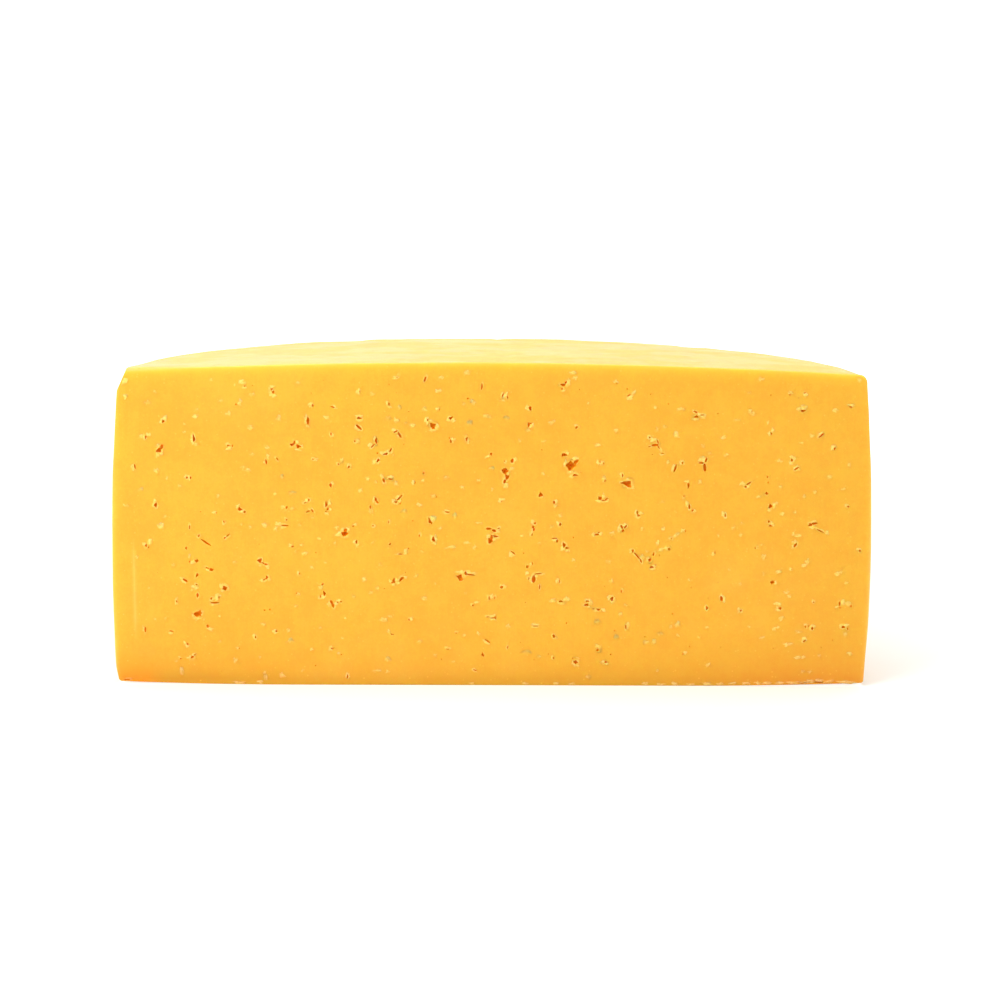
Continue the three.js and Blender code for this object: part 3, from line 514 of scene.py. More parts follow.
    (-114, 31.2, 0.7, 1.3, -20, 0.5), (-86.1, 17.9, 0.8, 1.4, 0, 0.8), (-92, 13.5, 0.8, 0.8, 0, 0.6),
    (-92.8, 8.7, 0.8, 1.7, 0, 0.8), (-112.5, 4.4, 0.9, 2.2, 0, 0.6), (-106, 98, 1.4, 1.1, 10, 0.8),
    (-105.1, 100.2, 0.7, 1.4, 0, 0.4), (-94, 98.8, 1.7, 1.8, -30, 0.5), (-86.1, 94.1, 1.3, 1.2, 0, 0.7),
    (-89, 79.7, 1.4, 0.8, 15, 0.4), (-87.4, 78.7, 1.2, 0.8, -30, 0.5), (-120.1, 78.3, 0.9, 1.3, 20, 0.6),
    (-85.6, 105.8, 1.2, 1.2, 0, 0.5), (-96.6, 103.6, 1.4, 1, -20, 0.4), (-80.3, 87, 1.2, 0.9, -25, 0.7),
    (-81.6, 58.6, 1, 1.4, 30, 0.7), (-85.8, 84.3, 1.6, 0.7, 0, 0.4),
    (-92.6, 44.9, 1, 1, 0, 0.3), (-122.8, 102.5, 1.4, 1.4, 0, 0.3), (-130.7, 110.4, 1.2, 2, -35, 1),
    (-130.6, 104.6, 1, 1.6, 0, 0.7),
    (-82, 2.2, 0.8, 1.8, 0, 0.5),
    # the ragged lower edge
    (-84, 0.9, 1.8, 0.8, -10, 0.9), (-91.5, 0.6, 3.6, 0.5, 0, 0.9), (-6.6, 0.7, 1.4, 0.5, 0, 0.8),
    (12.6, 0.8, 1.4, 0.5, 0, 0.8), (24, 0.9, 1.6, 0.5, 0, 0.8), (29.8, 0.8, 1.6, 0.5, 0, 0.7),
    (56.5, 1, 1.6, 0.7, 0, 0.9), (62, 0.85, 2.6, 0.4, 0, 0.7), (67.3, 1.05, 2.2, 0.8, -10, 1),
    (73, 0.85, 2.4, 0.4, 0, 0.8), (79, 1.1, 3, 0.4, 0, 0.8), (84, 1, 2.4, 0.4, 4, 0.8),
    (88.5, 1.2, 1.8, 0.5, 0, 0.9), (93.3, 1.3, 2, 0.6, 0, 0.9), (97.5, 1.45, 1.8, 0.7, 0, 1),
    (101, 1.5, 2.8, 0.5, 5, 1), (105.5, 1.6, 3.8, 0.4, -3, 1), (110.4, 1.7, 4.2, 0.45, 3, 1),
    (117, 2.3, 2, 0.6, -15, 1), (120, 2.6, 2.6, 0.5, 0, 1), (123.3, 2.2, 3.4, 0.4, 12, 1),
    (129.6, 2, 5.5, 0.5, -4, 1),
)

# How the rows above are laid on the cut, in mm: moved left by so much at a middle and less towards
# the sides, let down by so much, and turned a little.
layOut = {"left": 0.55, "middle": 20, "reach": 140, "down": 0.09, "turn": 0.0025}

# The openings too small to place one by one, strewn over the rest of the cut.
strewn = {
    "eyes": 45,
    "flaps": 110,
    "eyeSizes": (0.3, 0.75),  # mm
    "flapSizes": (0.4, 1.1),
    "flapProud": (0.3, 0.75),
    "across": 128,  # mm, either way from the middle
    "up": (3, 112),
    "turned": 50,  # degrees, either way
    "clear": 0.9,  # mm, from anything placed already
    "tries": 60,
    "seed": 23,
    "shapesSeed": 5,  # for the shapes of all the marks
}

eyeForm = {
    "core": {2: 0.85, 3: 0.66, 4: 0.7, 5: 0.78},  # how full an eye is between its points
    "armSpread": {2: 0.8, 3: 0.5, 4: 0.42, 5: 0.36},  # radians
    "armStrays": 0.14,  # as a share of the way to the next point
    "armLength": (0.85, 1.15),
    "spread": 1.1,
    "margin": 0.16,  # mm
    "deepShare": 0.58,
    "shallowest": 0.42 * mm,
    "deepest": 2.6 * mm,
    "sink": 0.25,  # how far behind the cut its widest part lies, as a share of its depth
    "raggedness": 0.16,
    "ragSize": 2.4,
    "fineAbove": 1.7 * mm,
    "finestAbove": 3.4 * mm,
}

flapForm = {
    "proud": 0.22 * mm,
    "spread": 1.2,
    "margin": 0.5,  # mm
    "raggedness": 1,
    "ragSize": 1.9,
    "lean": 4,  # degrees, the lower edge out
}

# The raised edge that the wire left round an eye.
lipForm = {
    "spread": 1.2,
    "margin": 0.95,  # mm
    "proud": (0.05 * mm, 0.17 * mm),
    "offset": 0.35,  # mm
    "raggedness": 0.5,
    "ragSize": 1.9,
    "lean": 0,
    "eyesAbove": 0.75,  # mm
}


def strewMarks():
    dice = random.Random(strewn["seed"])
    taken = [(row[0], row[1], max(row[2], row[3]) / 2) for row in eyes + flaps]
    wanted = [("eye", strewn["eyeSizes"])] * strewn["eyes"]
    wanted += [("flap", strewn["flapSizes"])] * strewn["flaps"]
    found = {"eye": [], "flap": []}
    for kind, sizes in wanted:
        for attempt in range(strewn["tries"]):
            across = dice.uniform(-strewn["across"], strewn["across"])
            up = dice.uniform(*strewn["up"])
            wide = dice.uniform(*sizes)
            tall = dice.uniform(*sizes)
            turned = dice.uniform(-strewn["turned"], strewn["turned"])
            reach = max(wide, tall) / 2 + strewn["clear"]
            if all(math.hypot(across - x, up - z) > reach + far for x, z, far in taken):
                taken.append((across, up, reach))
                last = dice.choice((2, 3)) if kind == "eye" else dice.uniform(*strewn["flapProud"])
                found[kind].append((across, up, wide, tall, turned, last))
                break
    return found["eye"], found["flap"]


def armReach(around, arms, core, spread):
    reach = core
    for at, far in arms:
        off = math.remainder(around - at, math.tau) / spread
        reach = max(reach, core + (far - core) * math.exp(-off * off))
    return reach


def onCut(across, up, behind):
    outward = (across - layOut["middle"]) / layOut["reach"]
    level = up - layOut["down"] - layOut["turn"] * across
    across -= layOut["left"] * (1 - outward * outward)
    return Matrix.Translation((middleX + across * mm, cutY + behind, level * mm))


def anywhere(dice):
    # a place of its own in the noise for each mark
    return Vector([dice.uniform(0, 50) for axis in range(3)])


def addEye(bm, row, dice):
    across, up, wide, tall, turned, points = row
    girth = math.sqrt(wide * tall) * mm  # a long narrow eye is shallow
    deep = min(eyeForm["deepest"], max(eyeForm["shallowest"], eyeForm["deepShare"] * girth))
    core, spread = eyeForm["core"][points], eyeForm["armSpread"][points]
    start = 0 if points == 2 else dice.uniform(0, math.tau)
    arms = []
    for arm in range(points):
        strays = dice.uniform(-eyeForm["armStrays"], eyeForm["armStrays"])
        at = start + math.tau * (arm + strays) / points
        arms.append((at, dice.uniform(*eyeForm["armLength"])))
    length = max(wide, tall) * mm
    rounds = 2 + (length > eyeForm["fineAbove"]) + (length > eyeForm["finestAbove"])
    verts = bmesh.ops.create_icosphere(bm, subdivisions=rounds, radius=1)["verts"]
    where = anywhere(dice)
    for vert in verts:
        around = math.atan2(vert.co.z, vert.co.x)
        draw = armReach(around, arms, core, spread)
        draw *= 1 + eyeForm["raggedness"] * noise.noise(vert.co * eyeForm["ragSize"] + where)
        vert.co.x *= draw
        vert.co.z *= draw
    size = Matrix.Diagonal((wide * mm / 2, deep, tall * mm / 2, 1))
    turn = Matrix.Rotation(math.radians(-turned), 4, "Y")
    place = onCut(across, up, eyeForm["sink"] * deep)
    bmesh.ops.transform(bm, matrix=place @ turn @ size, verts=verts)


def addScale(bm, row, form, proud, dice):
    # a thin scale of curd, half in the surface and half out of it
    across, up, wide, tall, turned = row[:5]
    verts = bmesh.ops.create_icosphere(bm, subdivisions=2, radius=1)["verts"]
    where = anywhere(dice)
    for vert in verts:
        vert.co *= 1 + form["raggedness"] * noise.noise(vert.co * form["ragSize"] + where)
    size = Matrix.Diagonal((wide * mm / 2, proud, tall * mm / 2, 1))
    turn = Matrix.Rotation(math.radians(-turned), 4, "Y")
    tilt = Matrix.Rotation(math.radians(form["lean"]), 4, "X")
    bmesh.ops.transform(bm, matrix=onCut(across, up, 0) @ tilt @ turn @ size, verts=verts)


def addFlap(bm, row, dice):
    addScale(bm, row, flapForm, flapForm["proud"] * row[5], dice)


def addLip(bm, row, dice):
    addScale(bm, row, lipForm, dice.uniform(*lipForm["proud"]), dice)


def widened(rows, form, dice=None):
    shift = form.get("offset", 0)
    wider = []
    for across, up, wide, tall, turned, last in rows:
        if dice:
            across += dice.uniform(-shift, shift)
            up += dice.uniform(-shift, shift)
        wide, tall = (side * form["spread"] + form["margin"] for side in (wide, tall))
        wider.append((across, up, wide, tall, turned, last))
    return wider


def apartBatches(rows):
    # rows in one batch stay clear of each other, so that each batch is a clean tool
    clearShare = 0.65
    batches = []
    for row in rows:
        reach = max(row[2], row[3]) * clearShare
        for batch in batches:
            if all(math.hypot(row[0] - x, row[1] - z) > reach + far for x, z, far, other in batch):
                batch.append((row[0], row[1], reach, row))
                break
        else:
            batches.append([(row[0], row[1], reach, row)])
    return [[entry[3] for entry in batch] for batch in batches]


def workSurface(piece, rows, addOne, operation, dice):
    tools = []
    for batch in apartBatches(rows):
        bm = bmesh.new()
        for row in batch:
            addOne(bm, row, dice)
        bmesh.ops.recalc_face_normals(bm, faces=bm.faces)
        tool = objectFrom(bm, "curdTool", [])
        tools.append(tool)
        work = piece.modifiers.new("work", "BOOLEAN")
        work.operation = operation
        work.solver = "MANIFOLD"
        work.object = tool
    bpy.context.view_layer.update()
    reader = bpy.context.evaluated_depsgraph_get()
    worked = bpy.data.meshes.new_from_object(piece.evaluated_get(reader))
    piece.modifiers.clear()
    piece.data = worked
    for tool in tools:
        bpy.data.objects.remove(tool)
    print(operation.lower(), len(rows), "marks in", len(tools), "batches,", len(worked.polygons), "faces")


def keepWhole(bm):
    # a flap that touches nothing would float, so only the cheese itself is kept
    left = set(bm.verts)
    islands = []
    while left:
        first = left.pop()
        island, waiting = {first}, [first]
        while waiting:
            vert = waiting.pop()
            for link in vert.link_edges:
                other = link.other_vert(vert)
                if other not in island:
                    island.add(other)
                    waiting.append(other)
        left -= island
        islands.append(island)
    islands.sort(key=len)
    for island in islands[:-1]:
        bmesh.ops.delete(bm, geom=list(island), context="VERTS")


def finishSurface(piece):
    sharpAbove = 38  # degrees
    bm = bmesh.new()
    bm.from_mesh(piece.data)
    keepWhole(bm)
    for vert in bm.verts:
        vert.co.z = max(vert.co.z, 0)  # a flap at the foot may not reach below it
    bmesh.ops.recalc_face_normals(bm, faces=bm.faces)
    openEdges = sum(1 for edge in bm.edges if len(edge.link_faces) != 2)
    triangles = sum(len(face.verts) - 2 for face in bm.faces)
    for face in bm.faces:
        face.smooth = True
    bm.to_mesh(piece.data)
    bm.free()
    piece.data.set_sharp_from_angle(angle=math.radians(sharpAbove))
    print("triangles", triangles, "open edges", openEdges)


# Colours are linear, sizes are in millimetres, and limits are the values of a noise between which
# something comes in.
curdLook = {
    "broadPatches": 34,
    "smallPatches": 7,
    "smallShare": 0.78,  # of the small patches, against the broad ones
    "patchLimits": (0.39, 0.61),
    "speckScale": 0.55,  # specks to a millimetre
    "speckEdge": (0.22, 0.08),  # from where a speck ends to its full colour
    "speckGroups": 3.1,
    "speckGroupLimits": (0.46, 0.6),
    "coarseGrain": (2.2, 0.05),  # how far apart and how high
    "fineGrain": (0.5, 0.012),
    "paste": (0.87, 0.478, 0.025),
    "pasteDeep": (0.84, 0.36, 0.014),  # where the curd is denser
    "pasteFoot": (0.64, 0.29, 0.008),
    "pasteFootLeft": (0.8, 0.29, 0.001),
    "pasteFootRight": (0.78, 0.27, 0.008),
    "eyeHollowShade": (0.93, 0.37, 0.001),  # painted shade and bounced light: a deeper, redder colour in the eyes' hollows
    "edgeLightBleed": (0.97, 0.7, 0.03),  # painted light: the pale band under the top and side edges, where light bleeds in through the rim
    # pale torn curd of the lips, partly painted light shining through the thin lips; the seam's pale line
    # uses it too
    "flap": (1, 0.72, 0.16),
    "flapFoot": (1, 0.5, 0.2),
    "speck": (0.97, 0.6, 0.08),
    "denser": 0.5,  # how far the deeper colour goes
    "dragged": 0.12,  # how much of it the wire's drag shows
    "dragSpacing": 0.9,
    "dragStretch": 0.06,  # up the cut, against across
    "dragLimits": (0.45, 0.8),
    "dragHeight": 0.03,
    "specks": 0.6,
    "edgeFades": 1.55,
    "rimHighlight": (0.96, 0.6, 0.36),  # painted highlight: where the rounded cut edge turns over into the rind and catches the light
    "rimHighlightFades": 0.43,
    "rimHighlightShare": 0.43,
    "creaseAt": -128.9,  # the pale line that the hoop's seam pressed in beside the left-hand rind
    "creaseFades": 0.45,
    "creaseStarts": (15, 26),  # up from the foot
    "creaseStops": (56, 44),
    "creaseShare": 0.4,
    "leftFoot": (-128, -116),  # from where the foot looks as at the left to where it doesn't
    "rightFoot": (125, 40),
    "leftShade": (-125, -50),  # and the same for how dark it is
    "rightShade": (125, 50),
    "footFades": (8, 5.5, 9),  # at the left, in the middle and at the right
    "footClears": 2.5,  # below this the foot gets no darker
    "footDarkens": (1.3, 0.8, 0.9),  # at the left, in the middle and at the right
    "sideBleedShares": (0.6, 0.25),  # how strongly the painted light band shows at the left and the right side, stronger at the left where the key light is
    "sideBleedAcross": (-60, 60),
    "sideBleedUp": (2, 16),
    "sideBleedAtFoot": 0.3,
    "flapShows": (0, 0.18),
    "flapTears": (0.5, 1),
    "tearSpacing": 0.6,
    "tearLimits": (0.35, 0.62),
    "eyeShows": (0.03, 0.45),
    "translucence": 0.6,
    "scatter": (1, 0.42, 0.1),
    "scatterReach": 3 * mm,
    "bending": 1.42,  # the refractive index of moist curd
    "roughness": 0.4,
    "roughnessOfPatches": (0.05, -0.04),
    "rougherInEyes": 0.35,
}

rindLook = {
    "fresh": (0.94, 0.56, 0.072),
    "ripe": (0.88, 0.47, 0.058),
    "bloom": (0.95, 0.6, 0.22),
    "bloomOver": 8,
    "bloomLimits": (0.5, 0.75),
    "bloomShare": 0.35,
    # painted sheen: the rind's pale bloom colour laid on more strongly towards the left, where the key
    # light falls
    "leftSheenShare": 0.3,
    "leftSheenFades": (-110, 20),
    "roughness": 0.42,
    "roughnessOfPrint": (0.08, -0.05),
    "flatFrom": (8, 4.5),  # below the crown: the top's print takes over from the side's
    "grain": 1.6,  # how much stronger it is than on the cut
    "weave": 1.1,  # from thread to thread of the press cloth
    "weaveHeight": 0.045,
    "wornOver": 22,  # from where the cloth's print is worn off to where it shows
    "wornLimits": (0.35, 0.65),
    "pitSize": 1.7,
    "pitLimits": (0.36, 0.26),
    "pitHeight": 0.12,
    "pitShare": 0.5,
    "translucence": 0.35,
}


def fill(tree, socket, value):
    if isinstance(value, bpy.types.NodeSocket):
        tree.links.new(value, socket)
    elif socket.type == "RGBA" and len(value) == 3:
        socket.default_value = (*value, 1)
    else:
        socket.default_value = value


def addNode(tree, kind, inputs, **settings):
    node = tree.nodes.new(kind)
    for name, value in settings.items():
        setattr(node, name, value)
    for name, value in inputs.items():
        fill(tree, node.inputs[name], value)
    return node


def sums(tree, operation, *values):
    node = tree.nodes.new("ShaderNodeMath")
    node.operation = operation
    for socket, value in zip(node.inputs, values):
        fill(tree, socket, value)
    return node.outputs[0]


def ramp(tree, value, start, end, low=0, high=1):
    limits = {"Value": value, "From Min": start, "From Max": end, "To Min": low, "To Max": high}
    return addNode(tree, "ShaderNodeMapRange", limits, interpolation_type="SMOOTHSTEP").outputs[0]


def fading(tree, distance, over):
    return sums(tree, "EXPONENT", sums(tree, "DIVIDE", sums(tree, "MAXIMUM", distance, 0), -over))


def blendColours(tree, share, first, second):
    node = tree.nodes.new("ShaderNodeMix")
    node.data_type = "RGBA"
    for index, value in ((0, share), (6, first), (7, second)):
        fill(tree, node.inputs[index], value)
    return node.outputs[2]


def noiseAt(tree, place, size, detail=2, roughness=0.55):
    settings = {"Vector": place, "Scale": 1 / size, "Detail": detail, "Roughness": roughness}
    return addNode(tree, "ShaderNodeTexNoise", settings).outputs["Fac"]


def stretched(tree, place, scale):
    return addNode(tree, "ShaderNodeVectorMath", {0: place, 1: scale}, operation="MULTIPLY").outputs[0]


def newGroup(name, outputs):
    group = bpy.data.node_groups.new(name, "ShaderNodeTree")
    group.interface.new_socket(name="Place", in_out="INPUT", socket_type="NodeSocketVector")
    for output in outputs:
        group.interface.new_socket(name=output, in_out="OUTPUT", socket_type="NodeSocketFloat")
    return group, group.nodes.new("NodeGroupInput").outputs[0], group.nodes.new("NodeGroupOutput")


def curdMottle():
    # broad and small patches of paler and deeper curd, and scattered pale specks
    look = curdLook
    group, place, result = newGroup("curdMottle", ("Patches", "Specks"))
    broad = noiseAt(group, place, look["broadPatches"], 2, 0.5)
    small = noiseAt(group, place, look["smallPatches"], 5, 1)
    smallPart = sums(group, "MULTIPLY", small, look["smallShare"])
    broadPart = sums(group, "MULTIPLY", broad, 1 - look["smallShare"])
    mixed = sums(group, "ADD", broadPart, smallPart)
    group.links.new(ramp(group, mixed, *look["patchLimits"]), result.inputs["Patches"])
    spots = {"Vector": place, "Scale": look["speckScale"], "Randomness": 1}
    cells = addNode(group, "ShaderNodeTexVoronoi", spots)
    near = ramp(group, cells.outputs["Distance"], *look["speckEdge"])
    grouped = ramp(group, noiseAt(group, place, look["speckGroups"]), *look["speckGroupLimits"])
    group.links.new(sums(group, "MULTIPLY", near, grouped), result.inputs["Specks"])
    return group


def skinGrain():
    # the grain that curd and rind share, as a height in millimetres
    group, place, result = newGroup("skinGrain", ("Height",))
    grains = []
    for spacing, high in (curdLook["coarseGrain"], curdLook["fineGrain"]):
        grains.append(sums(group, "MULTIPLY", noiseAt(group, place, spacing, 2), high))
    group.links.new(sums(group, "ADD", *grains), result.inputs["Height"])
    return group


def startMaterial(name, mottle, grain):
    material = bpy.data.materials.new(name)
    material.use_nodes = True
    tree = material.node_tree
    metres = tree.nodes.new("ShaderNodeTexCoord").outputs["Object"]
    place = stretched(tree, metres, (1 / mm, 1 / mm, 1 / mm))
    axes = addNode(tree, "ShaderNodeSeparateXYZ", {0: place}).outputs
    patches = addNode(tree, "ShaderNodeGroup", {}, node_tree=mottle)
    skin = addNode(tree, "ShaderNodeGroup", {}, node_tree=grain)
    tree.links.new(place, patches.inputs["Place"])
    tree.links.new(place, skin.inputs["Place"])
    return material, tree, place, axes, patches.outputs, skin.outputs["Height"]


def finishMaterial(tree, colour, rough, height, look):
    shader = tree.nodes["Principled BSDF"]
    bump = addNode(tree, "ShaderNodeBump", {"Height": height, "Distance": mm, "Strength": 1})
    fill(tree, shader.inputs["Base Color"], colour)
    fill(tree, shader.inputs["Roughness"], rough)
    fill(tree, shader.inputs["Normal"], bump.outputs[0])
    shader.inputs["IOR"].default_value = curdLook["bending"]
    shader.inputs["Subsurface Weight"].default_value = look["translucence"]
    shader.inputs["Subsurface Radius"].default_value = curdLook["scatter"]
    shader.inputs["Subsurface Scale"].default_value = curdLook["scatterReach"]


def edgeDistance(tree, axes):
    # how far a place on the cut is from the rind, in millimetres, along the top and both sides
    across = sums(tree, "ABSOLUTE", sums(tree, "SUBTRACT", axes[0], middleX / mm))
    share = sums(tree, "DIVIDE", axes[2], height / mm)
    topEdge = (widest - wheelForm["topDrawIn"]) / mm
    spread = (wheelForm["topDrawIn"] - wheelForm["footDrawIn"]) / mm
    swell = 4 * wheelForm["sideBulge"] / mm
    lean = sums(tree, "MULTIPLY", sums(tree, "SUBTRACT", 1, share), spread)
    curve = sums(tree, "MULTIPLY", sums(tree, "MULTIPLY", share, sums(tree, "SUBTRACT", 1, share)), swell)
    side = sums(tree, "SUBTRACT", sums(tree, "ADD", sums(tree, "ADD", lean, curve), topEdge), across)
    outward = sums(tree, "DIVIDE", across, topEdge)
    fall = sums(tree, "MULTIPLY", sums(tree, "MULTIPLY", outward, outward), wheelForm["topDome"] / mm)
    top = sums(tree, "SUBTRACT", sums(tree, "SUBTRACT", height / mm, fall), axes[2])
    return side, top


def pasteMaterial(mottle, grain):
    look = curdLook
    material, tree, place, axes, patches, skin = startMaterial("cutCurd", mottle, grain)
    side, top = edgeDistance(tree, axes)
    behind = sums(tree, "SUBTRACT", axes[1], cutY / mm)
    proud = sums(tree, "MULTIPLY", behind, -1)

    darkLeft, darkMiddle, darkRight = look["footDarkens"]
    shade = sums(tree, "MAXIMUM", ramp(tree, axes[0], *look["leftShade"], darkLeft, darkMiddle),
                 ramp(tree, axes[0], *look["rightShade"], darkRight, darkMiddle))
    fadesLeft, fadesMiddle, fadesRight = look["footFades"]
    footFades = sums(tree, "MAXIMUM", ramp(tree, axes[0], *look["leftFoot"], fadesLeft, fadesMiddle),
                     ramp(tree, axes[0], *look["rightFoot"], fadesRight, fadesMiddle))
    aboveFoot = sums(tree, "DIVIDE", sums(tree, "MAXIMUM", axes[2], look["footClears"]), footFades)
    nearFoot = sums(tree, "MULTIPLY", fading(tree, aboveFoot, 1), shade)
    inside = ramp(tree, behind, *look["eyeShows"])
    # painted light along the sides: stronger at the left, where the key light falls, and weaker towards the
    # foot
    sideBleed = ramp(tree, axes[0], *look["sideBleedAcross"], *look["sideBleedShares"])
    sideBleed = sums(tree, "MULTIPLY", sideBleed, ramp(tree, axes[2], *look["sideBleedUp"], look["sideBleedAtFoot"], 1))
    nearSide = sums(tree, "MULTIPLY", fading(tree, side, look["edgeFades"]), sideBleed)
    nearEdge = sums(tree, "MAXIMUM", fading(tree, top, look["edgeFades"]), nearSide)
    rimDistance = sums(tree, "MINIMUM", top, side)
    rimHighlightMask = fading(tree, rimDistance, look["rimHighlightFades"])
    fromCrease = sums(tree, "ABSOLUTE", sums(tree, "SUBTRACT", axes[0], look["creaseAt"]))
    creaseEnds = sums(tree, "MULTIPLY", ramp(tree, axes[2], *look["creaseStarts"]),
                      ramp(tree, axes[2], *look["creaseStops"]))
    crease = sums(tree, "MULTIPLY", fading(tree, fromCrease, look["creaseFades"]), creaseEnds)
    alongWire = stretched(tree, place, (1, 1, look["dragStretch"]))
    drag = noiseAt(tree, alongWire, look["dragSpacing"], 2)

    tint = sums(tree, "MULTIPLY", sums(tree, "SUBTRACT", 1, patches["Patches"]), look["denser"])
    tint = sums(tree, "ADD", tint, ramp(tree, drag, *look["dragLimits"], 0, look["dragged"]))
    colour = blendColours(tree, tint, look["paste"], look["pasteDeep"])
    atRight = ramp(tree, axes[0], *look["rightFoot"], 1, 0)
    footColour = blendColours(tree, atRight, look["pasteFoot"], look["pasteFootRight"])
    atLeft = ramp(tree, axes[0], *look["leftFoot"], 1, 0)
    footColour = blendColours(tree, atLeft, footColour, look["pasteFootLeft"])
    colour = blendColours(tree, nearFoot, colour, footColour)
    # paint the light that bleeds in under the top and side edges as a paler colour
    colour = blendColours(tree, nearEdge, colour, look["edgeLightBleed"])
    # painted highlight along the rounded rim of the cut
    colour = blendColours(tree, sums(tree, "MULTIPLY", rimHighlightMask, look["rimHighlightShare"]), colour, look["rimHighlight"])
    crease = sums(tree, "MULTIPLY", crease, look["creaseShare"])
    colour = blendColours(tree, crease, colour, look["flap"])
    specks = sums(tree, "MULTIPLY", patches["Specks"], look["specks"])
    colour = blendColours(tree, specks, colour, look["speck"])
    lifted = ramp(tree, proud, *look["flapShows"])
    tears = noiseAt(tree, place, look["tearSpacing"], 2)
    torn = ramp(tree, tears, *look["tearLimits"], *look["flapTears"])
    # the lips' pale colour: partly paler torn curd, partly painted light shining through them
    flapColour = blendColours(tree, nearFoot, look["flap"], look["flapFoot"])
    colour = blendColours(tree, sums(tree, "MULTIPLY", lifted, torn), colour, flapColour)
    # painted shade in the eyes: deeper and redder the further behind the cut
    colour = blendColours(tree, inside, colour, look["eyeHollowShade"])

    limits = [look["roughness"] + change for change in look["roughnessOfPatches"]]
    rough = ramp(tree, patches["Patches"], 0, 1, *limits)
    rough = sums(tree, "ADD", rough, sums(tree, "MULTIPLY", inside, look["rougherInEyes"]))
    ridges = sums(tree, "MULTIPLY", drag, look["dragHeight"])
    finishMaterial(tree, colour, rough, sums(tree, "ADD", skin, ridges), look)
    return material


def clothWeave(tree, first, second):
    # threads over and under each other, as a height from 0 to 1
    turn = math.tau / rindLook["weave"]
    warp = sums(tree, "SINE", sums(tree, "MULTIPLY", first, turn))
    weft = sums(tree, "SINE", sums(tree, "MULTIPLY", second, turn))
    return sums(tree, "MULTIPLY_ADD", sums(tree, "MULTIPLY", warp, weft), 0.5, 0.5)


def rindMaterial(mottle, grain):
    look = rindLook
    material, tree, place, axes, patches, skin = startMaterial("naturalRind", mottle, grain)
    across = sums(tree, "SUBTRACT", axes[0], middleX / mm)
    behind = sums(tree, "SUBTRACT", axes[1], cutY / mm)
    aroundSide = sums(tree, "MULTIPLY", sums(tree, "ARCTAN2", behind, across), widest / mm)
    flatLimits = [height / mm - below for below in look["flatFrom"]]
    flat = ramp(tree, axes[2], *flatLimits)
    onSide = clothWeave(tree, aroundSide, axes[2])
    onTop = clothWeave(tree, across, behind)
    weave = sums(tree, "ADD", sums(tree, "MULTIPLY", onTop, flat),
                 sums(tree, "MULTIPLY", onSide, sums(tree, "SUBTRACT", 1, flat)))
    printed = ramp(tree, noiseAt(tree, place, look["wornOver"], 3), *look["wornLimits"])
    pits = ramp(tree, noiseAt(tree, place, look["pitSize"], 3), *look["pitLimits"])

    colour = blendColours(tree, patches["Patches"], look["ripe"], look["fresh"])
    patchy = noiseAt(tree, place, look["bloomOver"], 4)
    bloom = ramp(tree, patchy, *look["bloomLimits"], 0, look["bloomShare"])
    # painted sheen: the pale colour added towards the left, where the key light is
    leftSheen = ramp(tree, across, *look["leftSheenFades"], look["leftSheenShare"], 0)
    bloom = sums(tree, "ADD", bloom, leftSheen)
    colour = blendColours(tree, bloom, colour, look["bloom"])
    pitted = sums(tree, "MULTIPLY", pits, look["pitShare"])
    colour = blendColours(tree, pitted, colour, curdLook["pasteDeep"])
    limits = [look["roughness"] + change for change in look["roughnessOfPrint"]]
    rough = ramp(tree, printed, 0, 1, *limits)

    threads = sums(tree, "MULTIPLY", sums(tree, "MULTIPLY", weave, printed), look["weaveHeight"])
    raised = sums(tree, "ADD", sums(tree, "MULTIPLY", skin, look["grain"]), threads)
    raised = sums(tree, "SUBTRACT", raised, sums(tree, "MULTIPLY", pits, look["pitHeight"]))
    finishMaterial(tree, colour, rough, raised, look)
    return material


def makeCheese():
    mottle, grain = curdMottle(), skinGrain()
    bm, cap = spinHalfWheel(wheelForm)
    roundCutEdge(bm, cap, wheelForm)
    breakCorner(bm, brokenCorner)
    gridCutFace(bm, wheelForm)
    makeUneven(bm)
    materials = [pasteMaterial(mottle, grain), rindMaterial(mottle, grain)]
    cheese = objectFrom(bm, "cheese", materials)
    print("half wheel", len(cheese.data.polygons), "faces")
    strewnEyes, strewnFlaps = strewMarks()
    dice = random.Random(strewn["shapesSeed"])
    lipped = [row for row in eyes if max(row[2], row[3]) > lipForm["eyesAbove"]]
    workSurface(cheese, widened(lipped, lipForm, dice), addLip, "UNION", dice)
    workSurface(cheese, widened(list(flaps) + strewnFlaps, flapForm), addFlap, "UNION", dice)
    workSurface(cheese, widened(eyes, eyeForm) + strewnEyes, addEye, "DIFFERENCE", dice)
    finishSurface(cheese)
    return cheese


studio = {
    "floorSide": 9,
    "floorColour": (0.9, 0.9, 0.9),
    "floorMottle": 0.02,  # how much paler its patches are
    "floorPatches": 0.05,
    "floorRoughness": 0.8,
    "floorGloss": 0.2,
    "surround": 1.3,  # what is seen of it, straight or as a reflection
    "fill": 0.66,  # what it lights with
    "topLight": 5.8,
    "topPlace": (0, 0, 1),
    "topSide": 1,
    "keyLight": 4.2,
    "keyPlace": (-0.6, -0.6, 0.5),
    "keyAim": (0, 0, 0.05),
    "keySide": 0.5,
    "floorGlow": (0.13, 0.6),  # painted light: the floor glows for the camera only, weakly near the cheese and strongly far behind it, so it stays white
    "floorGlowsFrom": (0.2, 0.9),  # how far away the first and the second hold
    "underfootGlow": 0.75,  # painted light: a stronger glow in the strip under the cut, which hides the shadow under the lifted foot so that it ends on white
    "underfootStarts": (-0.5 * mm, 0.5 * mm),  # behind the cut
    "underfootStops": (8 * mm, 4 * mm),
    "underfootSides": 2 * mm,  # how gently it ends at both sides
}

cameraView = {
    "before": 0.7,  # from the cut to the camera
    "across": 2.45 * mm,
    "up": 0.1921,
    "sensor": 36,  # mm
    "lens": 71.38,
    "turn": 0.0204,  # radians: how far the camera stands round to the left of square-on
    "lookDown": 0.17463,
    "roll": 0.0083,
}


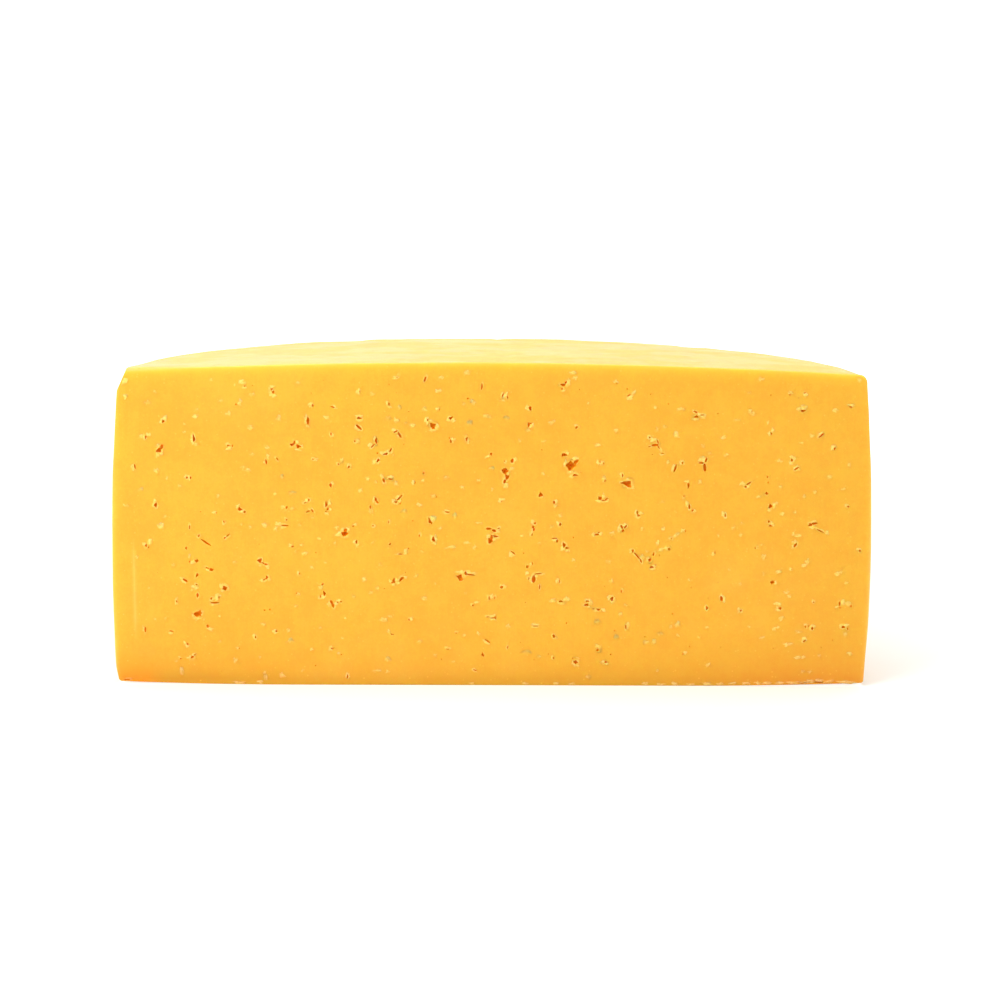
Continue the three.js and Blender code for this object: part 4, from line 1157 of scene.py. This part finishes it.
def makeFloor():
    bm = bmesh.new()
    bmesh.ops.create_grid(bm, x_segments=1, y_segments=1, size=studio["floorSide"] / 2)
    material = bpy.data.materials.new("paperFloor")
    material.use_nodes = True
    tree = material.node_tree
    place = tree.nodes.new("ShaderNodeTexCoord").outputs["Object"]
    grain = noiseAt(tree, place, studio["floorPatches"], 3)
    paler = tuple(share + studio["floorMottle"] for share in studio["floorColour"])
    shader = tree.nodes["Principled BSDF"]
    fill(tree, shader.inputs["Base Color"], blendColours(tree, grain, studio["floorColour"], paler))
    shader.inputs["Roughness"].default_value = studio["floorRoughness"]
    shader.inputs["Specular IOR Level"].default_value = studio["floorGloss"]
    shader.inputs["Emission Color"].default_value = (1, 1, 1, 1)
    # painted light: emission that only the camera sees
    seen = tree.nodes.new("ShaderNodeLightPath").outputs["Is Camera Ray"]
    away = addNode(tree, "ShaderNodeVectorMath", {0: place}, operation="LENGTH").outputs["Value"]
    glow = ramp(tree, away, *studio["floorGlowsFrom"], *studio["floorGlow"])
    axes = addNode(tree, "ShaderNodeSeparateXYZ", {0: place}).outputs
    across = sums(tree, "ABSOLUTE", sums(tree, "SUBTRACT", axes[0], middleX))
    behind = sums(tree, "SUBTRACT", axes[1], cutY)
    strip = sums(tree, "MULTIPLY", ramp(tree, behind, *studio["underfootStarts"]),
                 ramp(tree, behind, *studio["underfootStops"]))
    insideSides = widest - studio["underfootSides"]
    underCheese = ramp(tree, across, widest, insideSides, 0, studio["underfootGlow"])
    glow = sums(tree, "MAXIMUM", glow, sums(tree, "MULTIPLY", underCheese, strip))
    fill(tree, shader.inputs["Emission Strength"], sums(tree, "MULTIPLY", seen, glow))
    return objectFrom(bm, "floor", [material])


def areaLight(name, place, target, side, watts):
    lamp = bpy.data.lights.new(name, "AREA")
    lamp.shape = "SQUARE"
    lamp.size = side
    lamp.energy = watts
    made = bpy.data.objects.new(name, lamp)
    made.location = place
    aim = Vector(target) - Vector(place)
    made.rotation_euler = aim.to_track_quat("-Z", "Y").to_euler()
    bpy.context.scene.collection.objects.link(made)


def makeStudio():
    world = bpy.data.worlds.new("softbox")
    bpy.context.scene.world = world
    world.use_nodes = True
    tree = world.node_tree
    sky = tree.nodes["Background"]
    sky.inputs["Color"].default_value = (1, 1, 1, 1)
    diffuse = tree.nodes.new("ShaderNodeLightPath").outputs["Is Diffuse Ray"]
    fill(tree, sky.inputs["Strength"], ramp(tree, diffuse, 0, 1, studio["surround"], studio["fill"]))
    areaLight("topSoftbox", studio["topPlace"], (0, 0, 0), studio["topSide"], studio["topLight"])
    areaLight("keySoftbox", studio["keyPlace"], studio["keyAim"], studio["keySide"], studio["keyLight"])
    bpy.context.scene.view_settings.view_transform = "Standard"


def makeCamera():
    camera = bpy.data.objects.new("camera", bpy.data.cameras.new("camera"))
    camera.data.lens = cameraView["lens"]
    camera.data.sensor_width = cameraView["sensor"]
    turn = Matrix.Rotation(-cameraView["turn"], 3, "Z")
    stand = turn @ Vector((cameraView["across"], -cameraView["before"], cameraView["up"]))
    camera.location = Vector((middleX, cutY, 0)) + stand
    level = Matrix.Rotation(math.pi / 2 - cameraView["lookDown"], 3, "X")
    turned = turn @ level @ Matrix.Rotation(cameraView["roll"], 3, "Z")
    camera.rotation_euler = turned.to_euler()
    bpy.context.scene.collection.objects.link(camera)
    bpy.context.scene.camera = camera


cheese = makeCheese()
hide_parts(cheeseNode)
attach(cheese, "root")

floor = makeFloor()
makeStudio()
makeCamera()
print("studio ready")
